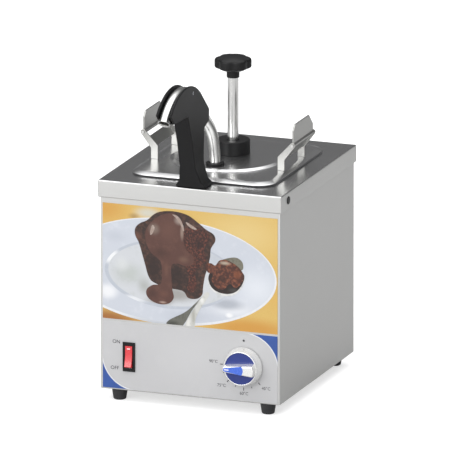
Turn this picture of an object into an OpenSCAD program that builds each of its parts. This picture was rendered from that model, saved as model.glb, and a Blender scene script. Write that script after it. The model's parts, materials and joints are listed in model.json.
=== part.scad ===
// Countertop heated sauce dispenser with a push pump, as it comes apart on a bench.
// Origin: middle of the footprint, on the surface the feet stand on.
// +X is the right-hand side seen from the front, +Y the back, +Z up. Millimetres.

/* [Case] */
// Width of the top deck
deck_w = 210; // [190:1:260]
// Depth of the top deck
deck_d = 236; // [226:1:300]
// Height of the case, from its underside to the top of the deck
case_h = 232; // [222:1:300]
// Thickness of the sheet metal
sheet_t = 1; // [0.8:0.1:1.4]
// Depth of the deck's turned-down skirt
skirt_h = 19; // [14:1:24]
// Gap between the skirt and the case walls
skirt_gap = 1.3; // [0.5:0.1:2]
// Width of the folded flanges inside the case
flange_w = 11; // [9:1:14]
// Gap round a panel that sits between two walls
panel_gap = 0.3; // [0.1:0.1:0.6]

/* [Feet] */
// Height of a foot
foot_h = 13; // [8:1:25]
// Radius of a foot where it meets the case
foot_r = 8.75; // [7:0.25:11]
// Radius of a foot's sole
foot_sole_r = 7; // [5:0.25:9]
// Distance from a foot's axis to the side of the deck
foot_inset_x = 20; // [20:1:30]
// Distance from a foot's axis to the front or back of the deck
foot_inset_y = 14; // [14:1:30]

/* [Bain-marie] */
// Width of the container's rim, a sixth-size gastronorm pan
pan_w = 162; // [150:1:176]
// Depth of the container's rim from front to back
pan_d = 176; // [160:1:180]
// Depth of the container
pan_h = 150; // [140:1:160]
// Thickness of the container's sheet
pan_t = 0.8; // [0.6:0.1:1]
// Width of the container's rim
pan_rim = 12; // [10:1:14]
// Corner radius of the container's rim
pan_r = 19; // [17:1:22]
// How much each container wall leans in, from top to floor
pan_lean = 7; // [3:1:9]
// Gap between the container's neck and the well
well_gap = 3; // [2:0.5:5]
// Space between the container's floor and the well's floor
bath_h = 17; // [10:1:22]
// Thickness of the insulation
wrap_t = 10; // [6:1:12]

/* [Lid] */
// How far the lid's edge stands out past the container's rim
lid_over = 1.25; // [1:0.25:2]
// Height of the lid's flat top over the deck
lid_top = 4.6; // [4:0.1:6]
// Width of the lid's sloped edge
lid_bevel = 8; // [6:0.5:10]
// Distance from the lid's side edge in to the top of the raised boss
boss_in = 25.25; // [22:0.25:30]
// Height of the raised boss over the lid's flat top
boss_h = 2.4; // [1.5:0.1:4]
// Run of the boss's sloped side
boss_slope = 5; // [3:0.5:8]

/* [Pump] */
// Distance from the lid's middle back to the pump's axis
pump_y = 17; // [14:1:22]
// Radius of the plunger rod
rod_r = 6; // [5:0.25:7]
// Stroke of the plunger
stroke = 55; // [40:1:60]
// Height of the bare rod between the hub and the knob
rod_show = 68.5; // [64:0.5:80]
// Bore radius of the pump cylinder
bore_r = 12; // [11:0.5:13]
// Wall of the pump cylinder
barrel_wall = 1.5; // [1:0.25:2]
// Radius of the hub cap
hub_r = 18.5; // [18:0.5:22]
// Height of the hub cap
hub_h = 15; // [12:0.5:18]
// Radius of the palm knob
knob_r = 20; // [17:0.5:24]
// Height of the palm knob, without its neck
knob_h = 16.5; // [14:0.5:20]
// Height of the palm knob's neck
knob_neck_h = 8; // [6:0.5:12]
// Gap between sliding parts of the pump
slide_fit = 0.05; // [0.02:0.01:0.1]
// Radius of the valve balls
ball_r = 5.5; // [5:0.25:6]
// Travel of a valve ball
ball_lift = 3; // [2:0.5:4]
// Wire thickness of the return spring
spring_wire = 1.8; // [1.4:0.1:2.2]
// Turns of the return spring
spring_turns = 9; // [7:1:12]

/* [Spout] */
// Distance from the lid's front edge back to the spout's riser
riser_in = 50.65; // [46:0.05:54]
// Outer radius of the spout tube
tube_r = 6.2; // [5.6:0.1:6.4]
// Wall of the spout tube
tube_wall = 1.05; // [0.8:0.05:1.2]
// Bend radius of the spout tube
bend_r = 60; // [54:1:64]
// Angle through which the riser bends forward
lean_angle = 50.4; // [46:0.2:54]
// Length of the straight stretch between the two bends
incline_l = 65; // [60:1:72]
// Angle of the nozzle bend
nozzle_angle = 88; // [82:0.5:94]
// Height over the deck at which the riser starts to bend
riser_top = 10.7; // [10.5:0.1:14]
// Length of the nozzle's flared lip
lip_h = 2.6; // [2:0.1:5]
// How far the flared lip stands out
lip_out = 0.8; // [0.4:0.1:1]

/* [Spout support] */
// Width of the support across its two cheeks
cheek_w = 18; // [17.5:0.5:20]
// Gap between the tube and the walls of its slot
slot_fit = 0.3; // [0.2:0.05:0.5]
// Height of the cheeks' edge over the tube's axis
cheek_rise = 7.5; // [7:0.5:9]
// Width of the support's foot
support_foot_w = 33; // [30:1:44]
// Depth of the support's foot from front to back
support_foot_d = 24; // [24:0.5:28]
// Height of the foot's flare
flare_h = 25; // [18:1:30]
// Gap between the lid's front edge and the support's foot
support_gap = 2.25; // [1:0.25:4]

/* [Lift handles] */
// Distance from the lid's side edge out to a handle's hinge pin
hinge_out = 3.25; // [2:0.25:5]
// Height of the hinge pin over the deck
hinge_h = 33.5; // [30:0.5:36]
// Distance from the lid's side edge in to the middle of a bracket's tabs
tab_in = 9.75; // [8:0.25:12]
// Width of a bracket's tab
tab_w = 8; // [6:0.5:8]
// Gap between the two arms of a bracket
arm_span = 61; // [50:1:70]
// Thickness of the bracket's strip
strip_t = 2; // [1.5:0.1:2.5]
// Height of a handle plate over its hinge pin
plate_h = 22; // [18:0.5:24]
// Radius of the hinge pin
pin_r = 1.5; // [1.2:0.1:2]
// Radius of the knuckles round the hinge pin
knuckle_r = 3; // [2.6:0.1:3.4]

/* [Controls] */
// Distance from the case's middle left to the switch
switch_x = 69.8; // [60:0.5:80]
// Depth of the switch's middle below the deck
switch_drop = 194; // [186:1:196]
// Height of the switch's bezel
bezel_h = 32.5; // [30:0.5:34]
// Width of the switch's bezel
bezel_w = 14; // [13:0.5:16]
// Distance from the case's middle right to the thermostat
dial_x = 61.4; // [54:0.5:66]
// Depth of the thermostat's axis below the deck
dial_drop = 192; // [188:1:194]
// Radius of the thermostat knob's ring
dial_r = 21.5; // [19:0.5:24]
// Depth of the knob's skirt, out from the panel
dial_h = 11; // [9:0.5:14]
// Height of the grip bar over the knob's face
grip_h = 10; // [7:0.5:13]
// Thickness of the printed films on the front
film_t = 0.3; // [0.2:0.1:0.5]
// Bare metal on each side of the films
film_margin = 2.7; // [1:0.1:5]
// Distance from the deck down to the picture
picture_drop = 25; // [21:0.5:30]
// Height of the picture
picture_h = 128.3; // [100:0.1:135]
// Gap between the picture and the control panel's film
film_gap = 2.1; // [1:0.1:4]
// Bare metal under the control panel's film
film_low = 1.7; // [1:0.1:4]

/* [Hidden] */
$fn = 64;

steel = [0.78, 0.78, 0.77];
dark_steel = [0.42, 0.42, 0.42];
black = [0.18, 0.18, 0.19];
brass = [0.75, 0.6, 0.3];

eps = 0.02;
seat_gap = 0.1;
deck_z = foot_h + case_h;
skirt_in = sheet_t + skirt_gap;
case_w = deck_w - 2 * skirt_in;
case_d = deck_d - 2 * skirt_in;
front_y = -case_d / 2;
back_y = case_d / 2;

// Wall stack of the container, the well and the insulation.
neck_w = pan_w - 2 * pan_rim;
neck_d = pan_d - 2 * pan_rim;
neck_r = pan_r - pan_rim / 2;
well_w = neck_w + 2 * well_gap;
well_d = neck_d + 2 * well_gap;
well_r = neck_r + well_gap;
well_z = deck_z - pan_h - bath_h;
wrap_in = 1.5;
wrap_top = deck_z - sheet_t - 8;
wrap_low = well_z + 4;

// Lid and everything that stands on it.
lid_w = pan_w + 2 * lid_over;
lid_d = pan_d + 2 * lid_over;
lid_r = pan_r + lid_over;
boss_r = lid_w / 2 - boss_in;
riser_y = lid_d / 2 - riser_in;
tab_x = lid_w / 2 - tab_in;
hinge_x = lid_w / 2 + hinge_out;
lid_edge_z = deck_z + 1.7;
lid_top_z = deck_z + lid_top;
boss_z = lid_top_z + boss_h;
hub_z = boss_z + hub_h;
knob_z = hub_z + rod_show;

// Pump.
barrel_r = bore_r + barrel_wall;
block_low = deck_z - pan_h + pan_t + 4;
block_h = 20;
block_top = block_low + block_h;
barrel_floor = block_top - 5;
spring_seat_t = 2;
piston_h = 12;
piston_z = deck_z - 32;
rod_low = piston_z + 5;
spring_low = barrel_floor + spring_seat_t;
spring_len = piston_z - spring_low;
spring_r = bore_r - 2 - spring_wire / 2;
port_r = 4;
cage_r = ball_r + 0.8;
ball_seat = sqrt(ball_r * ball_r - port_r * port_r);
inlet_seat_z = block_low + 4;
cross_z = barrel_floor - 3;

// Spout tube, as points (y, z) and headings in the side plane.
bend1 = [-riser_y - bend_r, deck_z + riser_top];
incline_from = bend1 + bend_r * [cos(lean_angle), sin(lean_angle)];
heading = 90 + lean_angle;
incline_to = incline_from + incline_l * [cos(heading), sin(heading)];
bend2 = incline_to - bend_r * [cos(lean_angle), sin(lean_angle)];
nozzle_at = lean_angle + nozzle_angle;
socket_h = 14;
outlet_seat_z = cross_z + port_r + 2;
tube_low = outlet_seat_z + ball_seat + ball_r + ball_lift + 0.4;

// Side outline of the spout support, as points (y, height over the deck) from its toe up.
slot_w = 2 * (tube_r + slot_fit);
heel_y = -lid_d / 2 - support_gap;
toe_y = heel_y - support_foot_d;
cheek_r = bend_r + cheek_rise;
cheek_end = nozzle_at - 2;
chin_r = 52;
shin = [[toe_y, 0], [toe_y - 1, 7], [toe_y - 8, 22], [toe_y - 13, 40], [toe_y - 17, 54],
        [toe_y - 23, 69], [toe_y - 30, 86]];
spine = [[heel_y + 12, 80], [heel_y + 11, 67], [heel_y - 3, 62], [heel_y - 5.5, 31],
         [heel_y - 4, 19], [heel_y, 5], [heel_y, 0]];
grub_angle = 71;

// Controls.
film_y = front_y - film_t;
switch_z = deck_z - switch_drop;
dial_z = deck_z - dial_drop;
switch_back = 22;
rocker_w = 8;
rocker_r = 12.4;
rocker_gap = 0.5;
rocker_tilt = 8;
pivot_in = 1.5;
stem_r = 3;
thermostat_d = 21.5;
film_w = case_w - 2 * film_margin;
picture_top = deck_z - picture_drop;
picture_low = picture_top - picture_h;
control_top = picture_low - film_gap;
control_low = foot_h + film_low;

// Handles.
handle_gap = 0.4;
arm_mid = 1.5;
plate_t = 2;

// ---- Shared shapes ----

// A profile swept round a rectangle with rounded corners. Its x is measured outwards from
// the corners' centres and its y is the height, so x = r lies on the w by d outline.
module swept(w, d, r) {
    for (k = [0 : 3]) {
        a = (k % 2 == 0 ? w : d) / 2 - r;
        b = (k % 2 == 0 ? d : w) / 2 - r;
        rotate([0, 0, 90 * k]) translate([a, b, 0]) {
            rotate_extrude(angle = 90) children();
            rotate([90, 0, 0]) linear_extrude(2 * b) children();
        }
    }
}

// A flat plate with rounded corners, from z = 0 up.
module plate(w, d, h, r) {
    translate([-w / 2 + r, -d / 2, 0]) cube([w - 2 * r, d, h]);
    translate([-w / 2, -d / 2 + r, 0]) cube([w, d - 2 * r, h]);
    for (x = [-1, 1], y = [-1, 1])
        translate([x * (w / 2 - r), y * (d / 2 - r), 0]) cylinder(r = r, h = h);
}

// A block centred on x and y.
module block(w, d, h) {
    translate([-w / 2, -d / 2, 0]) cube([w, d, h]);
}

// A ring with a round bore, from z = 0 up.
module ring(ro, ri, h) {
    difference() {
        cylinder(r = ro, h = h);
        translate([0, 0, -1]) cylinder(r = ri, h = h + 2);
    }
}

// Lays a shape drawn with x and y in the side plane, x to the back and y up.
module side_plane() {
    rotate([90, 0, 90]) children();
}

// Turns a shape that stands on z = 0 to stand out to the front.
module to_front() {
    rotate([90, 0, 0]) children();
}

// Pan-head screw whose head sits on z = 0 and whose shank runs down.
module screw(head_r, head_h, shank_r, shank_l) {
    difference() {
        union() {
            cylinder(r = head_r, h = head_h);
            translate([0, 0, -shank_l]) cylinder(r = shank_r, h = shank_l + eps);
        }
        for (a = [0, 90]) rotate([0, 0, a])
            translate([0, 0, head_h / 2]) block(head_r * 1.2, head_r * 0.3, head_h);
    }
}

// ---- Case ----

foot_x = deck_w / 2 - foot_inset_x;
foot_y = deck_d / 2 - foot_inset_y;
wall_top = deck_z - sheet_t - panel_gap;
wall_h = wall_top - foot_h;
flange_x = case_w / 2 - sheet_t - flange_w / 2;
plug_at = [deck_w / 2, -deck_d / 2 + 21.5, deck_z - 8.7];
plug_hole_r = 3.9;
screw_r = 1.9;
foot_head_r = 3.4;
hole_gap = 0.2;
gland_at = [62, back_y, foot_h + 34];
gland_r = 8;
rear_rows = [foot_h + 24, foot_h + 100, wall_top - 30];
base_rows = [-70, 0, 70];
deck_screw_x = 60;
deck_screw_z = deck_z - 11;
dial_screw_x = 14;

module case_shell() {
    color(steel) difference() {
        translate([-case_w / 2, front_y, foot_h]) cube([case_w, case_d, wall_h]);
        // Inside, between the floor flange and the back flange.
        translate([-case_w / 2 + sheet_t, front_y + sheet_t, foot_h + 2 * sheet_t])
            cube([case_w - 2 * sheet_t, case_d - 3 * sheet_t, wall_h]);
        // Window in the floor flange, and the seat under it for the base plate.
        translate([-case_w / 2 + sheet_t + flange_w, front_y + sheet_t + flange_w, foot_h - 1])
            cube([case_w - 2 * (sheet_t + flange_w), case_d - 2 * (sheet_t + flange_w), wall_h]);
        translate([-case_w / 2 + sheet_t, front_y + sheet_t, foot_h - 1])
            cube([case_w - 2 * sheet_t, case_d, sheet_t + 1]);
        // Window in the back flange, and the seat behind it for the rear panel.
        translate([-case_w / 2 + sheet_t + flange_w, 0, foot_h + sheet_t + flange_w])
            cube([case_w - 2 * (sheet_t + flange_w), case_d, wall_h]);
        translate([-case_w / 2 + sheet_t, back_y - sheet_t, foot_h - 1])
            cube([case_w - 2 * sheet_t, case_d, wall_h + 2]);
        // Front cut-outs for the switch and the thermostat.
        translate([-switch_x - bezel_w / 2 + 0.9 - hole_gap, front_y - 1,
                   switch_z - bezel_h / 2 + 1.2 - hole_gap])
            cube([bezel_w - 1.8 + 2 * hole_gap, sheet_t + 2, bezel_h - 2.4 + 2 * hole_gap]);
        translate([dial_x, front_y + 2, dial_z]) to_front() {
            cylinder(r = stem_r + 2, h = 4);
            for (s = [-1, 1]) translate([s * dial_screw_x, 0, 0])
                cylinder(r = screw_r + hole_gap, h = 4);
        }
        // Room for the foot screws' heads in the floor flange.
        for (x = [-1, 1], y = [-1, 1]) translate([x * foot_x, y * foot_y, foot_h - 1])
            cylinder(r = foot_head_r + 0.6, h = 6);
        // Holes for the rear and base screws, and for the plugs' shanks.
        for (s = [-1, 1]) {
            for (z = rear_rows) translate([s * flange_x, back_y + 1, z]) to_front()
                cylinder(r = screw_r + hole_gap, h = 6);
            for (y = base_rows) translate([s * flange_x, y, foot_h - 1])
                cylinder(r = screw_r + hole_gap, h = 6);
            translate([s * (case_w / 2 + 1), plug_at[1], plug_at[2]]) rotate([0, -s * 90, 0])
                cylinder(r = plug_hole_r + hole_gap, h = 4);
        }
    }
}

module rear_panel() {
    panel_w = case_w - 2 * (sheet_t + panel_gap);
    louvre_w = 50;
    color(steel) difference() {
        translate([-panel_w / 2, back_y - sheet_t, foot_h + panel_gap])
            cube([panel_w, sheet_t, wall_h - panel_gap]);
        for (s = [-1, 1], z = rear_rows)
            translate([s * flange_x, back_y + 1, z]) to_front()
                cylinder(r = screw_r + hole_gap, h = 4);
        for (s = [-1, 1]) translate([s * deck_screw_x, back_y + 1, deck_screw_z]) to_front()
            cylinder(r = screw_r + hole_gap, h = 4);
        translate(gland_at + [0, 1, 0]) to_front() cylinder(r = gland_r + hole_gap, h = 4);
        // Two banks of five vent slots.
        for (s = [-1, 1], i = [0 : 4])
            translate([s * 38 - louvre_w / 2, back_y - 2 * sheet_t, deck_z - 90 + i * 10])
                cube([louvre_w, 3 * sheet_t, 3.5]);
    }
}

module base_plate() {
    color(steel) difference() {
        translate([0, -sheet_t / 2, foot_h])
            block(case_w - 2 * (sheet_t + panel_gap), case_d - 3 * sheet_t - 2 * panel_gap, sheet_t);
        for (x = [-1, 1]) {
            for (y = [-1, 1]) translate([x * foot_x, y * foot_y, foot_h - 1])
                cylinder(r = screw_r + hole_gap, h = 4);
            for (y = base_rows) translate([x * flange_x, y, foot_h - 1])
                cylinder(r = screw_r + hole_gap, h = 4);
        }
        // Vent slots under the element.
        for (i = [-3 : 3]) translate([i * 14, 0, foot_h - 1]) block(5, 90, 4);
    }
}

module top_deck() {
    color(dark_steel) difference() {
        translate([0, 0, deck_z - skirt_h]) block(deck_w, deck_d, skirt_h);
        translate([0, 0, deck_z - skirt_h - 1])
            block(deck_w - 2 * sheet_t, deck_d - 2 * sheet_t, skirt_h - sheet_t + 1);
        translate([0, 0, deck_z - 2 * sheet_t]) plate(well_w, well_d, 4 * sheet_t, well_r);
        for (s = [-1, 1]) {
            translate([s * (deck_w / 2 + 1), plug_at[1], plug_at[2]]) rotate([0, -s * 90, 0])
                cylinder(r = plug_hole_r + hole_gap, h = 4);
            translate([s * deck_screw_x, deck_d / 2 + 1, deck_screw_z]) to_front()
                cylinder(r = screw_r + hole_gap, h = 4);
        }
    }
}

module deck_plugs() {
    color(black) for (s = [-1, 1]) translate([s * deck_w / 2, plug_at[1], plug_at[2]])
        rotate([0, s * 90, 0]) {
            cylinder(r1 = 4.6, r2 = 4, h = 0.8);
            translate([0, 0, -skirt_in - sheet_t]) cylinder(r = plug_hole_r, h = skirt_in + sheet_t);
        }
}

module deck_screws() {
    color(steel) for (s = [-1, 1]) translate([s * deck_screw_x, deck_d / 2, deck_screw_z])
        rotate([-90, 0, 0]) screw(3.4, 1.8, screw_r, skirt_in + sheet_t + 1);
}

module rear_screws() {
    color(steel) for (s = [-1, 1], z = rear_rows) translate([s * flange_x, back_y, z])
        rotate([-90, 0, 0]) screw(3.2, 1.8, screw_r, 7);
}

module base_screws() {
    color(steel) for (s = [-1, 1], y = base_rows) translate([s * flange_x, y, foot_h])
        rotate([180, 0, 0]) screw(3.2, 1.8, screw_r, 7);
}

module feet() {
    color(black) for (x = [-1, 1], y = [-1, 1]) translate([x * foot_x, y * foot_y, 0])
        difference() {
            rotate_extrude() polygon([[0, 0], [foot_sole_r - 1, 0], [foot_sole_r, 1],
                                      [foot_r, foot_h - 1], [foot_r, foot_h], [0, foot_h]]);
            // Screw pocket from above.
            translate([0, 0, foot_h - 9]) cylinder(r = screw_r + seat_gap, h = 10);
        }
}

module foot_screws() {
    color(steel) for (x = [-1, 1], y = [-1, 1])
        translate([x * foot_x, y * foot_y, foot_h + sheet_t])
            screw(foot_head_r, 2.2, screw_r, sheet_t + 8);
}

module cable_gland() {
    cord_r = 4.1;
    color(black) translate(gland_at) rotate([-90, 0, 0]) difference() {
        union() {
            cylinder(r = 11.5, h = 6, $fn = 6);
            translate([0, 0, 6 - eps]) cylinder(r = 9.5, h = 7);
            translate([0, 0, 13 - eps]) cylinder(r1 = 9.5, r2 = 6.5, h = 3);
            translate([0, 0, -14]) cylinder(r = gland_r, h = 14 + eps);
        }
        translate([0, 0, -15]) cylinder(r = cord_r, h = 40);
    }
}

module gland_nut() {
    color(black) translate(gland_at + [0, -sheet_t, 0]) rotate([90, 0, 0]) difference() {
        cylinder(r = 12, h = 4.5, $fn = 6);
        translate([0, 0, -1]) cylinder(r = gland_r + eps, h = 8);
    }
}

// ---- Bain-marie ----

module well() {
    t = sheet_t;
    color(steel) {
        // Flange spot-welded under the deck, wall, and rounded edge of the floor.
        swept(well_w, well_d, well_r) polygon([
            [well_r, well_z + 4], [well_r + t, well_z + 4], [well_r + t, deck_z - 2 * t],
            [well_r + 7, deck_z - 2 * t], [well_r + 7, deck_z - t], [well_r, deck_z - t]]);
        swept(well_w, well_d, well_r) polygon([
            [well_r - 3, well_z], [well_r - 3, well_z - t], [well_r - 2, well_z - t],
            [well_r + t, well_z + 2], [well_r + t, well_z + 4 + eps], [well_r, well_z + 4 + eps],
            [well_r, well_z + 3]]);
        translate([0, 0, well_z - t]) plate(well_w - 6 + eps, well_d - 6 + eps, t, well_r - 3 + eps);
    }
}

module insulation() {
    ri = well_r + sheet_t + wrap_in;
    color([0.85, 0.84, 0.78]) swept(well_w, well_d, well_r)
        polygon([[ri, wrap_low], [ri + wrap_t, wrap_low], [ri + wrap_t, wrap_top], [ri, wrap_top]]);
}

element_r = 42;
element_tube_r = 4;
element_z = well_z - sheet_t - element_tube_r - 0.4;
clamp_z = element_z - element_tube_r - 0.4;
stud_x = 20;

module heating_element() {
    gap = 24;
    leg_at = element_r * [cos(gap), sin(gap)];
    color([0.35, 0.33, 0.32]) translate([0, 0, element_z]) {
        rotate([0, 0, gap]) rotate_extrude(angle = 360 - 2 * gap) translate([element_r, 0])
            circle(r = element_tube_r);
        // Both ends turn down in terminal legs with thin studs.
        for (s = [-1, 1]) translate([leg_at[0], s * leg_at[1], 0]) {
            translate([0, 0, -26]) cylinder(r = element_tube_r + 0.8, h = 26 + element_tube_r);
            translate([0, 0, -36]) cylinder(r = 1.2, h = 11);
        }
    }
}

module element_clamp() {
    color(steel) {
        translate([0, 0, clamp_z - 1.5]) block(116, 24, 1.5);
        for (s = [-1, 1]) translate([s * stud_x, 0, clamp_z - 14])
            cylinder(r = 2, h = well_z - sheet_t - clamp_z + 14 - eps);
    }
}

module clamp_nuts() {
    color(steel) for (s = [-1, 1]) translate([s * stud_x, 0, clamp_z - 1.5 - 3.5 - eps])
        difference() {
            cylinder(r = 4.2, h = 3.5, $fn = 6);
            translate([0, 0, -1]) cylinder(r = 2 + eps, h = 6);
        }
}

module overheat_cutout() {
    color(black) translate([-30, 48, well_z - sheet_t - eps]) rotate([180, 0, 0]) {
        cylinder(r = 9, h = 2);
        translate([0, 0, 2 - eps]) cylinder(r = 8, h = 9);
        for (s = [-1, 1]) translate([s * 4.5, 0, 10]) block(0.8, 6, 9);
    }
}

bulb_r = 3;
capillary_r = 0.8;

module sensor_bulb() {
    bulb_z = well_z - sheet_t - bulb_r - eps;
    turn_y = front_y + 40;
    back_of_dial = front_y + sheet_t + seat_gap + thermostat_d + eps;
    tail_z = dial_z + 6;
    knot_r = capillary_r + 0.3;
    color([0.72, 0.45, 0.25]) translate([dial_x - 8, 0, 0]) {
        translate([0, 40, bulb_z]) rotate([90, 0, 0]) cylinder(r = bulb_r, h = 70);
        // Capillary forward, down and into the back of the thermostat.
        translate([0, -29, bulb_z]) rotate([90, 0, 0]) cylinder(r = capillary_r, h = -29 - turn_y);
        translate([0, turn_y, bulb_z]) sphere(r = knot_r);
        translate([0, turn_y, tail_z]) cylinder(r = capillary_r, h = bulb_z - tail_z);
        translate([0, turn_y, tail_z]) sphere(r = knot_r);
        translate([0, turn_y, tail_z]) rotate([90, 0, 0])
            cylinder(r = capillary_r, h = turn_y - back_of_dial);
    }
}

module terminal_block() {
    ways = 5;
    pitch = 9;
    color([0.9, 0.88, 0.82]) translate([10, back_y - 34, foot_h + sheet_t]) difference() {
        block(ways * pitch + 4, 17, 14);
        for (i = [0 : ways - 1]) translate([(i - (ways - 1) / 2) * pitch, 0, 7])
            rotate([90, 0, 0]) cylinder(r = 2.4, h = 40, center = true);
    }
}

// ---- Front ----

module picture_film() {
    color([0.85, 0.65, 0.4]) translate([-film_w / 2, film_y, picture_low])
        cube([film_w, film_t, picture_top - picture_low]);
}

module control_film() {
    color([0.8, 0.8, 0.8]) difference() {
        translate([-film_w / 2, film_y, control_low]) cube([film_w, film_t, control_top - control_low]);
        translate([-switch_x - bezel_w / 2 + 0.9 - hole_gap, film_y - 1,
                   switch_z - bezel_h / 2 + 1.2 - hole_gap])
            cube([bezel_w - 1.8 + 2 * hole_gap, film_t + 2, bezel_h - 2.4 + 2 * hole_gap]);
        translate([dial_x, front_y + 2, dial_z]) to_front() {
            cylinder(r = stem_r + 2, h = 4);
            for (s = [-1, 1]) translate([s * dial_screw_x, 0, 0]) cylinder(r = 4, h = 4);
        }
    }
}

module switch_housing() {
    body_w = bezel_w - 1.8;
    body_h = bezel_h - 2.4;
    color(black) translate([-switch_x, 0, switch_z]) difference() {
        union() {
            translate([-bezel_w / 2, film_y - 1.8, -bezel_h / 2]) cube([bezel_w, 1.8, bezel_h]);
            translate([-body_w / 2, film_y - eps, -body_h / 2]) cube([body_w, switch_back, body_h]);
        }
        // Rocker chamber and its two pivot holes.
        translate([-rocker_w / 2 - rocker_gap / 2, film_y + pivot_in, 0]) rotate([0, 90, 0])
            cylinder(r = rocker_r + rocker_gap, h = rocker_w + rocker_gap);
        translate([-rocker_w / 2 - 1.4, film_y + pivot_in, 0]) rotate([0, 90, 0])
            cylinder(r = 1.5 + slide_fit, h = rocker_w + 2.8);
    }
}

module switch_terminals() {
    color(brass) for (z = [-9, 0, 9]) translate([-switch_x - 3.2, film_y + switch_back - eps, switch_z + z - 0.4])
        cube([6.4, 8, 0.8]);
}

module switch_rocker() {
    color([0.8, 0.08, 0.08]) translate([-switch_x, film_y + pivot_in, switch_z]) rotate([-rocker_tilt, 0, 0])
        intersection() {
            union() {
                // Two wings that meet in a shallow valley over the pivot.
                translate([-rocker_w / 2, 0, 0]) rotate([90, 0, 90]) linear_extrude(rocker_w)
                    polygon([[-5.4, 13], [-3.6, 0], [-5.4, -13], [3, -13], [5.5, 0], [3, 13]]);
                translate([-rocker_w / 2 - 1.3, 0, 0]) rotate([0, 90, 0])
                    cylinder(r = 1.5, h = rocker_w + 2.6);
            }
            rotate([0, 90, 0]) cylinder(r = rocker_r, h = rocker_w + 4, center = true);
        }
}

module thermostat_body() {
    top = front_y + sheet_t + seat_gap;
    color([0.75, 0.72, 0.66]) difference() {
        translate([dial_x - 22, top, dial_z - 17]) cube([44, thermostat_d, 34]);
        translate([dial_x, top + 14, dial_z]) to_front() cylinder(r = stem_r + slide_fit, h = 16);
        for (s = [-1, 1]) translate([dial_x + s * dial_screw_x, top + 9, dial_z]) to_front()
            cylinder(r = screw_r + eps, h = 10);
    }
}

module thermostat_screws() {
    color(steel) for (s = [-1, 1]) translate([dial_x + s * dial_screw_x, front_y, dial_z])
        to_front() screw(3.4, 0.9, screw_r, 9);
}

ring_back = film_y - 0.8;
ring_front = ring_back - dial_h;
face_r = dial_r - 4;

module thermostat_shaft() {
    color(steel) difference() {
        translate([dial_x, front_y + sheet_t + 12, dial_z]) to_front()
            cylinder(r = stem_r, h = front_y + sheet_t + 12 - ring_front - 4);
        // Flat that keys the knob.
        translate([dial_x - stem_r, ring_front - 6, dial_z + stem_r - 1])
            cube([2 * stem_r, ring_back - ring_front + 7, stem_r]);
    }
}

module dial_ring() {
    color(steel) translate([dial_x, ring_back, dial_z]) to_front() rotate_extrude()
        polygon([[face_r + 0.1, 0], [dial_r, 0], [dial_r, 1.6], [dial_r - 0.6, 3.2],
                 [face_r + 1, dial_h], [face_r + 0.1, dial_h]]);
}

module dial_face() {
    color([0.1, 0.3, 0.68]) difference() {
        translate([dial_x, ring_back, dial_z]) to_front() cylinder(r = face_r + 0.06, h = dial_h - 0.8);
        // Hollow back that clears the thermostat screws, round a keyed stem socket.
        translate([dial_x, ring_back + 1, dial_z]) to_front() difference() {
            cylinder(r = face_r - 2, h = 5);
            cylinder(r = 6, h = 5);
        }
        difference() {
            translate([dial_x, ring_back + 1, dial_z]) to_front()
                cylinder(r = stem_r + slide_fit, h = dial_h - 4 + 1 + seat_gap);
            translate([dial_x - stem_r - 1, ring_front - 6, dial_z + stem_r - 1 + slide_fit])
                cube([2 * stem_r + 2, dial_h + 8, stem_r]);
        }
    }
}

module dial_grip() {
    grip_w = 13;
    grip_l = 2 * face_r;
    face_y = ring_front + 0.8;
    color(steel) translate([dial_x, face_y, dial_z]) to_front() intersection() {
        cylinder(r = face_r, h = grip_h);
        // Waisted bar, narrower at its crest.
        rotate([0, -90, 0]) translate([0, 0, -grip_l / 2]) linear_extrude(grip_l)
            polygon([[0, -grip_w / 2], [0, grip_w / 2], [2, grip_w / 2], [grip_h, grip_w / 2 - 2.5],
                     [grip_h, -grip_w / 2 + 2.5], [2, -grip_w / 2]]);
    }
}

// ---- Container ----

module container() {
    t = pan_t;
    z1 = deck_z + seat_gap;
    low = z1 + t - pan_h;
    edge = 10;
    in_low = neck_r - pan_lean;
    color(steel) {
        // Rim, neck and leaning wall.
        swept(neck_w, neck_d, neck_r) polygon([
            [neck_r + pan_rim, z1], [neck_r + pan_rim, z1 + t], [neck_r, z1 + t],
            [neck_r - t, z1 + t - 1], [neck_r - t, z1 - 12], [in_low - t + 1, low + edge],
            [in_low + 1, low + edge], [neck_r, z1 - 12], [neck_r, z1]]);
        // Rounded edge of the floor, as three flats.
        swept(neck_w, neck_d, neck_r) polygon([
            [in_low - t + 1, low + edge + eps], [in_low - 1.6 - t, low + 4.6], [0, low + t],
            [0, low], [1, low], [in_low - 1.2, low + 3.6], [in_low + 1, low + edge + eps]]);
        translate([0, 0, low]) block(neck_w - 2 * neck_r, neck_d - 2 * neck_r, t);
    }
}

// ---- Lid ----

module lid() {
    t = sheet_t;
    u = lid_r;
    zt = lid_top_z;
    foot = boss_r + boss_slope;
    color(dark_steel) difference() {
        union() {
            swept(lid_w, lid_d, lid_r) polygon([
                [u, lid_edge_z], [u, lid_edge_z + 0.6], [u - lid_bevel, zt],
                [u - lid_bevel - 4, zt], [u - lid_bevel - 4, zt - t], [u - lid_bevel - 0.4, zt - t],
                [u - 1.4, lid_edge_z]]);
            difference() {
                translate([0, 0, zt - t])
                    plate(lid_w - 2 * lid_bevel, lid_d - 2 * lid_bevel, t, lid_r - lid_bevel);
                translate([0, 0, zt - t - 1]) cylinder(r = foot - 1, h = t + 2);
            }
            rotate_extrude() polygon([
                [0, boss_z], [boss_r, boss_z], [foot, zt], [foot, zt - t], [foot - 0.6, zt - t],
                [boss_r - 0.6, boss_z - t], [0, boss_z - t]]);
        }
        translate([0, pump_y, zt - 5]) cylinder(r = barrel_r + hole_gap, h = 20);
        translate([0, -riser_y, zt - 5]) cylinder(r = collar_neck_r + hole_gap, h = 20);
    }
}

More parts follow.
